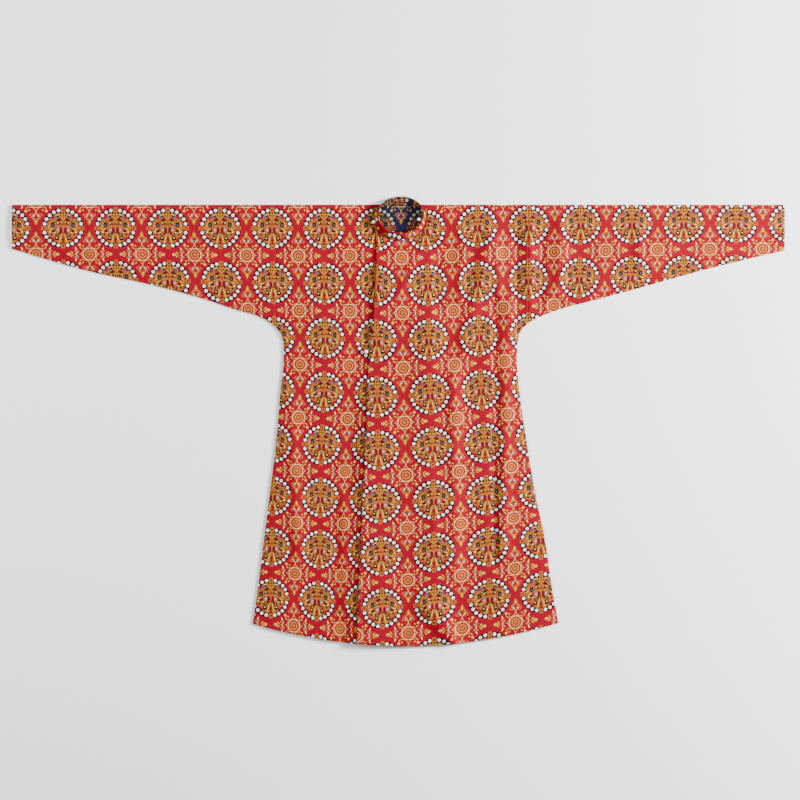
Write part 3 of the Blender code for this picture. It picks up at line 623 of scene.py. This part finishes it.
def print_at(x, y, column_heights, columns, row_places, rows):
    """The print's coordinates at each point of a panel, from the places of its rings."""
    upright = [np.interp(-y, [-h for h in column_heights], column) for column in columns]
    level = [-np.interp(x, row_places, row) for row in rows]
    across = repeats_passed(x, upright, REPEAT_WIDE)
    down = repeats_passed(-y, level, REPEAT_HIGH)
    return np.dstack([across, -down])


def right_print(x, y):
    return print_at(x, y, RIGHT_COLUMN_HEIGHTS, RIGHT_COLUMNS, RIGHT_ROW_PLACES, RIGHT_ROWS)


def ripple(x, y):
    """A faint unevenness of the laid cloth: three crossing waves of 70 to 160 mm, under half a millimetre."""
    long = 0.00022 * np.sin(41 * x + 9 * y + 1.3) + 0.00018 * np.sin(17 * x - 52 * y + 0.4)
    return long + 0.00014 * np.sin(88 * x + 23 * y + 2.2 * np.sin(11 * y))


def calm_by_neck(x, y):
    """0 at the neck's sewing line and 1 a neck's width away."""
    return ease((np.hypot(x - NECK_X, y - NECK_Y) / NECK_HALF - 0.9) / 1.2)


def front_loft(x, y, folds=1.0):
    """How far the front layer stands off the back, with its folds and creases. Beside the armhole seams
    a groove of 0.2 mm runs down the cloth, with the turned seam allowance as a low ridge beyond it."""
    calm = calm_by_neck(x, y)
    seams = 0.0
    for seam, turned in ((RIGHT_SEAM_X, -1), (LEFT_SEAM_X, 1)):
        away = (x - seam) * turned
        allowance = np.exp(-(((away - 0.009) / 0.006) ** 2))
        seams = seams + SEAM_RELIEF * (allowance - np.exp(-((away / 0.004) ** 2)))
    ridges = creased(x, y, FOLDS) + creased(x, y, FRONT_CREASES, 0.030)
    level = LOFT * (CALM_LOFT + (1 - CALM_LOFT) * calm)
    return sewn_rise(x, y) * (level + folds * ridges * calm + seams + ripple(x, y) * calm)


def free_edge(y, column=1):
    """The free edge's x at a height, or in column 2 how far it stands up."""
    return through(FREE_EDGE, np.clip(y, FREE_EDGE[0][0], FREE_EDGE[-1][0]), column)


def covered_edge_x(y):
    """The covered edge of the front beneath, a straight line."""
    t = np.clip((COVERED_NECK[1] - y) / (COVERED_NECK[1] - HEM_LOW_Y), 0.0, 1.0)
    return COVERED_NECK[0] + (COVERED_HEM_X - COVERED_NECK[0]) * t


def under_front_z(x, y):
    """Underside of the front beneath, smooth where the other front covers it. It swells below the free edge:
    it slopes down on the open side by the smooth step, and beneath the other front as exp(-(away/run)^2)."""
    away = x - free_edge(y)
    run = SLOPE_LOW - (SLOPE_LOW - SLOPE_HIGH) * ease((y - NARROWS_FROM) / NARROWS_OVER)
    fall = np.where(away < 0, 1 - ease(-away / run), np.exp(-((away / FREE_EDGE_RUN) ** 2)))
    swell = SWELL_SHARE * free_edge(y, 2) * fall
    return CLOTH + LAYER_GAP + front_loft(x, y, 1 - ease(away / FREE_EDGE_RUN)) + swell


def neck_line(degrees, out=0.0):
    """The collar's sewing line: a half ellipse in front, and a squarer curve, power 2/3, at the nape."""
    angle = np.radians(degrees)
    c, s = np.cos(angle), np.sin(angle)
    power = np.where(s > 0, 2.0 / 3.0, 1.0)
    x = NECK_X + (NECK_HALF + out) * np.sign(c) * np.abs(c) ** power
    y = NECK_Y + (np.where(s > 0, NECK_TOP, NECK_DROP) + out * (s < 0)) * np.sign(s) * np.abs(s) ** power
    return np.stack([x, y], axis=-1)


def neck_side_x(direction, y, out):
    """The neck line beside the neck, read by height."""
    below = np.clip((NECK_Y - y) / (NECK_DROP + out), 0.0, 1.0)
    above = np.clip((y - NECK_Y) / NECK_TOP, 0.0, SQUARE_LIMIT)
    half = np.where(y < NECK_Y, np.sqrt(1 - below**2), (1 - above**3) ** (1.0 / 3.0))
    return NECK_X + direction * (NECK_HALF + out) * half


def yoke_patch(yoke, direction, seam_x, out, rows=15):
    """The part of a front between the yoke line and the shoulder."""
    levels = np.linspace(yoke[0][1], SHOULDER_Y, rows)
    neck = np.column_stack([neck_side_x(direction, levels, out(levels)), levels])
    neck[0] = yoke[0] if direction > 0 else yoke[-1]
    seam = np.column_stack([np.full(rows, seam_x), levels])
    left, right = (neck, seam) if direction > 0 else (seam, neck)
    top = np.linspace(left[-1][0], right[-1][0], len(yoke))
    return coons(left, right, yoke, np.column_stack([top, np.full(len(yoke), SHOULDER_Y)]))


def covered_clear(y):
    """How far below the sewing line the covered front starts: less where the band moves inwards."""
    return NECK_CLEAR - INNER_INSET * (1 - ease((y - INSET_LOW_Y) / INSET_RUN))


def panel(plan, underside, printed):
    """Lifts a flat patch to the cloth's upper face and adds its print coordinates."""
    x, y = plan[..., 0], plan[..., 1]
    return np.dstack([x, y, underside(x, y) + CLOTH]), printed(x, y)


FRONT_ROWS = 196
neck = neck_line(np.linspace(180 + YOKE_ANGLE, COVERED_NECK_END, 34), NECK_CLEAR - INNER_INSET)
yoke_y = neck[0][1]
yoke = np.column_stack([np.linspace(RIGHT_SEAM_X + SEWN, neck[0][0], 54), np.full(54, yoke_y)])
top = np.vstack([yoke[:-1], neck])
heights = np.linspace(RIGHT_SIDE[0][0], yoke_y, FRONT_ROWS)
left = np.column_stack([across_to_seams(heights)[0], heights])
right = np.linspace((COVERED_HEM_X, hem_y(COVERED_HEM_X)), neck[-1], FRONT_ROWS)
hem = np.linspace(left[0][0], COVERED_HEM_X, len(top))
lower = coons(left, right, np.column_stack([hem, hem_y(hem)]), top)
upper = yoke_patch(yoke, -1, RIGHT_SEAM_X + SEWN, covered_clear)
front_right = cloth_piece("front_right_cloth", [panel(lower, under_front_z, right_print),
                                                panel(upper, under_front_z, right_print)],
                          "front_right")


# The wearer's left front: it crosses over the other one, and its free edge stands a little off it. The
# same side seam, armhole and shoulder hold it, and the collar and two pearl buttons keep it closed.
LEFT_COLUMN_HEIGHTS = (0.4994, 0.3596, 0.2172, 0.0774, -0.0650, -0.2022, -0.3394, -0.4715)
LEFT_COLUMNS = (
    (-0.0550, -0.0576, -0.0558, -0.0550, -0.0524, -0.0472, -0.0447, -0.0408),
    (0.0693, 0.0768, 0.0788, 0.0819, 0.0884, 0.0918, 0.0920, 0.0933),
    (0.2047, 0.2052, 0.2093, 0.2142, 0.2238, 0.2298, 0.2329, 0.2375),
    (0.3375, 0.3367, 0.3359, 0.3437, 0.3566, 0.3644, 0.3696, 0.3696),
    (0.4721, 0.4680, 0.4680, 0.4757, 0.4913, 0.4964, 0.5016, 0.5016),
    (0.6044, 0.6000, 0.6000, 0.6078, 0.6259, 0.6285, 0.6337, 0.6337),
    (0.7383, 0.7372, 0.7372, 0.7424, 0.7553, 0.7605, 0.7657, 0.7657),
    (0.8744, 0.8744, 0.8744, 0.8796, 0.8900, 0.8951, 0.9003, 0.9003),
    (1.0117, 1.0117, 1.0117, 1.0142, 1.0246, 1.0298, 1.0350, 1.0350),
)
LEFT_ROW_PLACES = (-0.0550, 0.0770, 0.2091, 0.3385, 0.4706, 0.7398, 1.0117)
LEFT_ROWS = (
    (0.4917, 0.4942, 0.5043, 0.5041, 0.5095, 0.5108, 0.5098),
    (0.3493, 0.3508, 0.3594, 0.3656, 0.3697, 0.3777, 0.3803),
    (0.2071, 0.2095, 0.2198, 0.2276, 0.2328, 0.2405, 0.2431),
    (0.0593, 0.0681, 0.0800, 0.0904, 0.0981, 0.1059, 0.1059),
    (-0.0753, -0.0683, -0.0577, -0.0469, -0.0391, -0.0313, -0.0313),
    (-0.2151, -0.2050, -0.1955, -0.1815, -0.1711, -0.1608, -0.1608),
    (-0.3498, -0.3407, -0.3283, -0.3083, -0.2954, -0.2825, -0.2825),
    (-0.4841, -0.4748, -0.4621, -0.4456, -0.4326, -0.4119, -0.4119),
)


# The crossing front comes down past the covered edge: how far beyond it, over what width, and over what
# height below COVERED_TOP.
PAST_COVERED, PAST_RUN, TOP_RUN = 0.003, 0.018, 0.030


def left_print(x, y):
    return print_at(x, y, LEFT_COLUMN_HEIGHTS, LEFT_COLUMNS, LEFT_ROW_PLACES, LEFT_ROWS)


def over_front_z(x, y):
    """Underside of the crossing front: a layer higher where it overlaps, and lifted along its free edge."""
    past = ease((x - covered_edge_x(y) - PAST_COVERED) / PAST_RUN)
    overlap = (1 - past) * ease((COVERED_TOP - y) / TOP_RUN)
    stand = free_edge(y, 2) * np.exp(-((np.maximum(x - free_edge(y), 0.0) / STAND_RUN) ** 2))
    return CLOTH + LAYER_GAP + front_loft(x, y) + (CLOTH + SEAM_GAP) * overlap + stand


neck = neck_line(np.linspace(FREE_NECK_START, 360 - YOKE_ANGLE, 34), NECK_CLEAR)
yoke_y = neck[-1][1]
yoke = np.column_stack([np.linspace(neck[-1][0], LEFT_SEAM_X - SEWN, 58), np.full(58, yoke_y)])
top = np.vstack([neck, yoke[1:]])
heights = np.linspace(FREE_EDGE[0][0], neck[0][1], FRONT_ROWS)
left = np.column_stack([through(FREE_EDGE, heights), heights])
left[-1] = neck[0]
heights = np.linspace(LEFT_SIDE[0][0], yoke_y, FRONT_ROWS)
right = np.column_stack([across_to_seams(heights)[1], heights])
hem = np.linspace(left[0][0], right[0][0], len(top))
bottom = np.column_stack([hem, hem_y(hem)])
bottom[0] = left[0]
lower = coons(left, right, bottom, top)
upper = yoke_patch(yoke, 1, LEFT_SEAM_X - SEWN, lambda y: NECK_CLEAR)
front_left = cloth_piece("front_left_cloth", [panel(lower, over_front_z, left_print),
                                              panel(upper, over_front_z, left_print)],
                         "front_left")


# The sleeves: one width of brocade each, folded along the top and seamed below, so that each is a flat
# open tube from the armhole to the cuff. The print runs on over the fold to the hidden side.
FOLD_RADIUS = 0.0015
UNDER_SLEEVE_CREASES = (
    (-0.480, 0.50, -0.455, 0.33, 0.0010, 0.009),
    (-0.700, 0.52, -0.640, 0.38, 0.0009, 0.008),
    (-0.905, 0.53, -0.870, 0.43, 0.0008, 0.007),
    (0.470, 0.52, 0.440, 0.32, 0.0010, 0.009),
    (0.660, 0.51, 0.710, 0.38, 0.0009, 0.008),
    (0.880, 0.53, 0.860, 0.43, 0.0008, 0.007),
)


def sleeve_section(x, low):
    """Sections of a sleeve at each x: along the flat underside from the seam to the fold, round the fold on
    a half circle, and back over the lofted top. Each column has its height y and z, and the print's own y,
    which runs on past the fold on the underside."""
    share = np.linspace(0, 1, 64)[None, :]
    arc = np.radians(np.linspace(-90, 90, 9))[None, 1:-1]
    high = SHOULDER_Y
    low_in, high_in = low[:, None] + FOLD_RADIUS, high - FOLD_RADIUS
    station = x[:, None]
    under_y = low_in + (high_in - low_in) * share
    under_z = creased(station + 0 * under_y, under_y, UNDER_SLEEVE_CREASES, 0.03)
    under_z = under_z * sewn_rise(station + 0 * under_y, under_y)
    top_y = under_y[:, ::-1]
    top_z = 2 * FOLD_RADIUS + front_loft(station + 0 * top_y, top_y)
    far_y = high_in + FOLD_RADIUS * np.cos(arc) + 0 * station
    far_z = FOLD_RADIUS + FOLD_RADIUS * np.sin(arc) + 0 * station
    near_y = low_in - FOLD_RADIUS * np.cos(arc)
    near_z = FOLD_RADIUS - FOLD_RADIUS * np.sin(arc) + 0 * station
    y = np.hstack([under_y, far_y, top_y, near_y, under_y[:, :1]])
    z = np.hstack([under_z, far_z, top_z, near_z, under_z[:, :1]])
    turned = np.hstack([2 * high - under_y, 2 * high - far_y, top_y, near_y, near_y[:, -1:] - 0.0004])
    return y, z, turned


def sleeve_grid(direction, table, seam_x, printed, stations=140):
    """Carries the sections from the armhole to the cuff."""
    x = np.linspace(seam_x + direction * SEWN, direction * CUFF_X, stations)
    y, z, turned = sleeve_section(x, through(table, np.abs(x)))
    wide = x[:, None] + 0 * y
    grid = np.dstack([wide, y, z])
    repeats = printed(wide, turned)
    return (grid[::-1], repeats[::-1]) if direction < 0 else (grid, repeats)


sleeve_right = cloth_piece("sleeve_right_cloth", [sleeve_grid(-1, RIGHT_SLEEVE, RIGHT_SEAM_X, right_print)],
                           "sleeve_right")
sleeve_left = cloth_piece("sleeve_left_cloth", [sleeve_grid(1, LEFT_SLEEVE, LEFT_SEAM_X, left_print)],
                          "sleeve_left")


# The collar: a narrow band of the same brocade, folded double and sewn round the neck. It stands up at
# the sides of the neck and leans over in front. Its covered end lies inside the outer one.
BAND = 0.0024
RIM_X, RIM_Y = 0.0066, 0.5331
RIM_HALF, RIM_DROP = 0.0583, 0.0476
RISE_FRONT, RISE_SIDE, RISE_NAPE = 0.0080, 0.0150, 0.0060
OUTER_FRONT = ((203.0, 190.0), (360.0, 360.0))
OUTER_NAPE = ((360.0, 360.0), (525.0, 525.0))
INNER = ((166.6, 166.6), (345.0, 345.0))
BAND_BOW = 0.0012
OUTER_LIFT, INNER_LIFT = 0.0013, 0.0009
# The covered part moves inwards from this angle on. It loses and wins back a share of its width: the
# share, the angle where that starts, and over how many degrees.
INSET_ANGLE, INSET_TURN = 168.0, 16.0
NARROWER, WIDER = (0.28, 170.0, 30.0), (0.30, 290.0, 50.0)


def rim_line(degrees):
    """The band's free rim, an ellipse."""
    angle = np.radians(degrees)
    return np.stack([RIM_X + RIM_HALF * np.cos(angle), RIM_Y + RIM_DROP * np.sin(angle)], axis=-1)


def rim_rise(degrees):
    """The band stands highest at the sides of the neck: the rise blends by the square of the cosine."""
    s = np.sin(np.radians(degrees))
    ends = np.where(s > 0, RISE_NAPE, RISE_FRONT)
    return ends + (RISE_SIDE - ends) * (1 - s**2)


def band_grid(start, end, steps, inset, reach, front_z, lift, printed):
    """The band from its sewing line, w = 0, to its rim, w = 1: the plan runs straight between the two lines,
    and the height adds the rise and a low crown, sin(pi w)."""
    w = np.linspace(0, 1, 11)[None, :]
    s = np.linspace(0, 1, steps)[:, None]
    sewn_angle = start[0] + (end[0] - start[0]) * s
    rim_angle = start[1] + (end[1] - start[1]) * s
    degrees = sewn_angle + (rim_angle - sewn_angle) * w
    sewn = neck_line(degrees)
    outward = sewn - np.array([NECK_X, NECK_Y])
    outward = outward / np.linalg.norm(outward, axis=-1, keepdims=True)
    foot = sewn - outward * inset(degrees)[..., None]
    plan = foot + (rim_line(degrees) - sewn) * (w * reach(degrees))[..., None]
    height = front_z(foot[..., 0], foot[..., 1]) + lift
    height = height + rim_rise(degrees) * w * reach(degrees) + BAND_BOW * np.sin(math.pi * w)
    return np.dstack([plan, height]), printed(plan[..., 0], plan[..., 1])


def collar_print(x, y):
    """In front the band has the print in its own place, a ring below the middle, turned by 15 degrees."""
    c, s = math.cos(math.radians(15)), math.sin(math.radians(15))
    across, up = x + 0.0214, y - 0.4334
    return np.dstack([(c * across + s * up) / REPEAT_WIDE, (c * up - s * across) / REPEAT_HIGH])


def nape_print(x, y):
    """At the nape the inside of a ring shows, left of the middle."""
    return np.dstack([(x + 0.0240) / REPEAT_WIDE, (y - 0.5823) / REPEAT_HIGH])


def no_inset(degrees):
    return 0.0 * degrees


def full_reach(degrees):
    return 1.0 + 0.0 * degrees


def inner_inset(degrees):
    return INNER_INSET * ease((degrees - INSET_ANGLE) / INSET_TURN)


def inner_reach(degrees):
    lost = NARROWER[0] * ease((degrees - NARROWER[1]) / NARROWER[2])
    return 1 - lost + WIDER[0] * ease((degrees - WIDER[1]) / WIDER[2])


outer_front = band_grid(*OUTER_FRONT, 90, no_inset, full_reach, over_front_z, OUTER_LIFT, collar_print)
outer_nape = band_grid(*OUTER_NAPE, 90, no_inset, full_reach, over_front_z, OUTER_LIFT, nape_print)
collar_outer = cloth_piece("collar_outer_band", [outer_front, outer_nape], "collar_outer",
                           thickness=BAND, offset=0.0, flip=True)
inner_band = band_grid(*INNER, 100, inner_inset, inner_reach, under_front_z, INNER_LIFT, collar_print)
collar_inner = cloth_piece("collar_inner_band", [inner_band], "collar_inner",
                           thickness=BAND, offset=0.0, flip=True)


# The pearl buttons: round glass pearls, a little flattened; the thread shanks that sew them on are not built.
# One closes the collar, one the crossing front, and the smaller one the covered end of the band.
BUTTONS = {
    "button_neck": (-0.0642, 0.5142, 0.0080, 0.0048),
    "button_waist": (-0.0830, 0.1794, None, 0.0048),
    "button_inner": (0.0528, 0.5205, 0.0165, 0.0040),
}
BUTTON_SQUASH = 0.75

pearl, tree, shader = new_material("button_pearl")
place = put(tree, "ShaderNodeTexCoord").outputs["Object"]
cloud = put(tree, "ShaderNodeTexNoise", place, None, 260.0, 2.0, 0.5)
lustre = put(tree, "ShaderNodeMapRange", cloud.outputs[0], 0.3, 0.7, 0.0, 1.0)
tint = paint(tree, (0.97, 0.96, 0.95), lustre.outputs[0], (0.90, 0.86, 0.83))
tree.links.new(tint, shader.inputs["Base Color"])
shader.inputs["Roughness"].default_value = 0.16
shader.inputs["Coat Weight"].default_value = 0.8
shader.inputs["Coat Roughness"].default_value = 0.05
shader.inputs["Sheen Weight"].default_value = 0.1
shader.inputs["Specular IOR Level"].default_value = 0.6


def closed_mesh(name, points, faces, merge):
    """A smooth mesh from arrays of points and four-sided faces. Points nearer than merge become one, so its
    poles close, and every face is turned outwards."""
    mesh = bpy.data.meshes.new(name)
    mesh.from_pydata(points.reshape(-1, 3).tolist(), [], faces.reshape(-1, 4).tolist())
    closed = bmesh.new()
    closed.from_mesh(mesh)
    bmesh.ops.remove_doubles(closed, verts=closed.verts, dist=merge)
    bmesh.ops.recalc_face_normals(closed, faces=closed.faces)
    closed.to_mesh(mesh)
    closed.free()
    mesh.shade_smooth()
    return mesh


def turned_mesh(name, outline, centre, around=40):
    """A profile of radius and height, swept about a vertical axis: (r cos a, r sin a, h). The first and last
    points of the profile lie on the axis, and their rings close to one point each."""
    angle = np.linspace(0, 2 * math.pi, around, endpoint=False)
    radius, height = outline[:, :1], outline[:, 1:]
    points = np.dstack([radius * np.cos(angle), radius * np.sin(angle), height + 0 * angle]) + np.array(centre)
    k = np.arange(points[..., 0].size).reshape(points.shape[:2])
    turned = np.roll(k, -1, axis=1)
    faces = np.stack([k[:-1], turned[:-1], turned[1:], k[1:]], axis=-1)
    return closed_mesh(name, points, faces, 1e-6)


def pearl_outline(radius):
    """Half an ellipse, from its lowest point to its highest: (r cos a, r squash sin a)."""
    a = np.linspace(-math.pi / 2, math.pi / 2, 25)
    outline = np.column_stack([radius * np.cos(a), radius * BUTTON_SQUASH * np.sin(a)])
    outline[[0, -1], 0] = 0.0
    return outline


for node, (x, y, z, radius) in BUTTONS.items():
    if z is None:
        cloth_top = float(under_front_z(np.array(x), np.array(y))) + CLOTH
        z = cloth_top + SEAM_GAP + BUTTON_SQUASH * radius
    mesh = turned_mesh(node + "_pearl", pearl_outline(radius), (x, y, z))
    ball = bpy.data.objects.new(node + "_pearl", mesh)
    bpy.context.scene.collection.objects.link(ball)
    ball.data.materials.append(pearl)
    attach(ball, "root")
    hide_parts(node)


# The sewing that shows: slip stitches of red silk that hold the turned edges down, along the free edge,
# the hems, the cuffs and the foot of the collar. Each is a short twist of thread lying on the cloth.
STITCH_LONG, STITCH_THICK, STITCH_EVERY = 0.0034, 0.00036, 0.0070
EDGE_TURN = 0.005

silk, tree, shader = new_material("silk_thread")
place = put(tree, "ShaderNodeTexCoord").outputs["Object"]
twist = put(tree, "ShaderNodeTexWave", place, 900.0, 0.4, 1.0, 2.0, wave_type="BANDS",
            bands_direction="DIAGONAL").outputs["Fac"]
thread = paint(tree, (0.26, 0.006, 0.016), twist, (0.17, 0.004, 0.012))
tree.links.new(thread, shader.inputs["Base Color"])
tree.links.new(put(tree, "ShaderNodeBump", 0.3, 0.0001, None, twist).outputs[0], shader.inputs["Normal"])
shader.inputs["Roughness"].default_value = 0.45
shader.inputs["Sheen Weight"].default_value = 0.05


def spaced(path):
    """Points at equal spaces along a path, and the direction of the path at each."""
    steps = np.hypot(*np.diff(path, axis=0).T)
    run = np.concatenate([[0.0], np.cumsum(steps)])
    at = np.arange(STITCH_EVERY / 2, run[-1], STITCH_EVERY)
    points = np.column_stack([np.interp(at, run, path[:, 0]), np.interp(at, run, path[:, 1])])
    beyond = np.column_stack([np.interp(at + 1e-4, run, path[:, 0]), np.interp(at + 1e-4, run, path[:, 1])])
    ahead = beyond - points
    length = np.linalg.norm(ahead, axis=1, keepdims=True)
    keep = length[:, 0] > 1e-6
    return points[keep], (ahead / np.maximum(length, 1e-9))[keep]


def stitch_points(path, top):
    """Stitches on a path: point + direction * half length * t + girth * (side cos a + up sin a), where girth
    is thickness * sqrt(1 - t^2). They are half sunk into the cloth, whose upper face is top(x, y)."""
    middle, along = spaced(path)
    t = np.linspace(-1, 1, 7)[None, :, None]
    a = np.linspace(0, 2 * math.pi, 7)[:-1][None, None, :]
    girth = STITCH_THICK * np.sqrt(1 - t**2)
    forward = t * STITCH_LONG / 2 + 0 * a
    x = middle[:, 0, None, None] + along[:, 0, None, None] * forward - along[:, 1, None, None] * girth * np.cos(a)
    y = middle[:, 1, None, None] + along[:, 1, None, None] * forward + along[:, 0, None, None] * girth * np.cos(a)
    return np.stack([x, y, top(x, y) + girth * np.sin(a) + STITCH_THICK / 4], axis=-1)


def over_top(x, y):
    return over_front_z(x, y) + CLOTH


def under_top(x, y):
    return under_front_z(x, y) + CLOTH


def sleeve_top(x, y):
    return 2 * FOLD_RADIUS + front_loft(x, y)


up = np.linspace(FREE_EDGE[0][0] + 0.004, 0.478, 200)
edge = np.column_stack([free_edge(up) + EDGE_TURN, up])
wide = np.linspace(free_edge(FREE_EDGE[0][0]) + 0.004, LEFT_SIDE[0][1] - 0.006, 200)
left_hem = np.column_stack([wide, hem_y(wide) + EDGE_TURN])
wide = np.linspace(RIGHT_SIDE[0][1] + 0.006, free_edge(FREE_EDGE[0][0]) - 0.004, 120)
right_hem = np.column_stack([wide, hem_y(wide) + EDGE_TURN])
up = np.linspace(RIGHT_SLEEVE[-1][1] + 0.006, SHOULDER_Y - 0.006, 20)
right_cuff = np.column_stack([np.full(20, EDGE_TURN - CUFF_X), up])
up = np.linspace(LEFT_SLEEVE[-1][1] + 0.006, SHOULDER_Y - 0.006, 20)
left_cuff = np.column_stack([np.full(20, CUFF_X - EDGE_TURN), up])
foot = neck_line(np.linspace(212, 332, 90), NECK_CLEAR + 0.002)
rows = [stitch_points(edge, over_top), stitch_points(left_hem, over_top), stitch_points(right_hem, under_top),
        stitch_points(right_cuff, sleeve_top), stitch_points(left_cuff, sleeve_top), stitch_points(foot, over_top)]
points = np.vstack(rows)
k = np.arange(points[..., 0].size).reshape(points.shape[:3])
turned = np.roll(k, -1, axis=2)
faces = np.stack([k[:, :-1], k[:, 1:], turned[:, 1:], turned[:, :-1]], axis=-1)
mesh = closed_mesh("edge_stitches", points, faces, 1e-7)
mesh.materials.append(silk)
stitches = bpy.data.objects.new("edge_stitches", mesh)
bpy.context.scene.collection.objects.link(stitches)
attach(stitches, "root")


# The studio: a pale floor, one large soft light from the wearer's left, a weaker fill, and the camera
# straight above, where the photograph was taken from.
FLOOR_HALF, FLOOR_Z = 40.0, -0.0003
floor_material, tree, shader = new_material("pale_floor")
shader.inputs["Base Color"].default_value = (0.92, 0.92, 0.92, 1)
shader.inputs["Roughness"].default_value = 0.9
floor_mesh = bpy.data.meshes.new("floor")
floor_corners = ((-1, -1), (1, -1), (1, 1), (-1, 1))
floor_mesh.from_pydata([(FLOOR_HALF * x, FLOOR_HALF * y, FLOOR_Z) for x, y in floor_corners], [],
                       [(0, 1, 2, 3)])
floor_mesh.materials.append(floor_material)
floor = bpy.data.objects.new("floor", floor_mesh)
bpy.context.scene.collection.objects.link(floor)


def soft_light(name, place, target, size, watts):
    """A square area light aimed at a point."""
    lamp = bpy.data.lights.new(name, "AREA")
    lamp.shape = "SQUARE"
    lamp.size = size
    lamp.energy = watts
    lamp_object = bpy.data.objects.new(name, lamp)
    bpy.context.scene.collection.objects.link(lamp_object)
    lamp_object.location = place
    aim = np.array(target) - np.array(place)
    lamp_object.rotation_euler = (math.acos(-aim[2] / np.linalg.norm(aim)), 0, math.atan2(-aim[0], aim[1]))
    return lamp_object


soft_light("key", (4.6, 1.2, 1.8), (0.1, 0.1, 0), 1.4, 1400)
soft_light("fill", (-2.6, 0.6, 2.2), (-0.7, 0.4, 0), 1.6, 115)
world = bpy.context.scene.world or bpy.data.worlds.new("studio")
bpy.context.scene.world = world
world.use_nodes = True
world.node_tree.nodes["Background"].inputs[0].default_value = (1.0, 1.0, 1.0, 1)
world.node_tree.nodes["Background"].inputs[1].default_value = 0.32

camera_data = bpy.data.cameras.new("camera")
camera_data.sensor_width = 36.0
camera_data.lens = 104.3
camera = bpy.data.objects.new("camera", camera_data)
camera.location = (0.0045, 0.0541, 6.0)
bpy.context.scene.collection.objects.link(camera)
bpy.context.scene.camera = camera

bpy.context.view_layer.update()
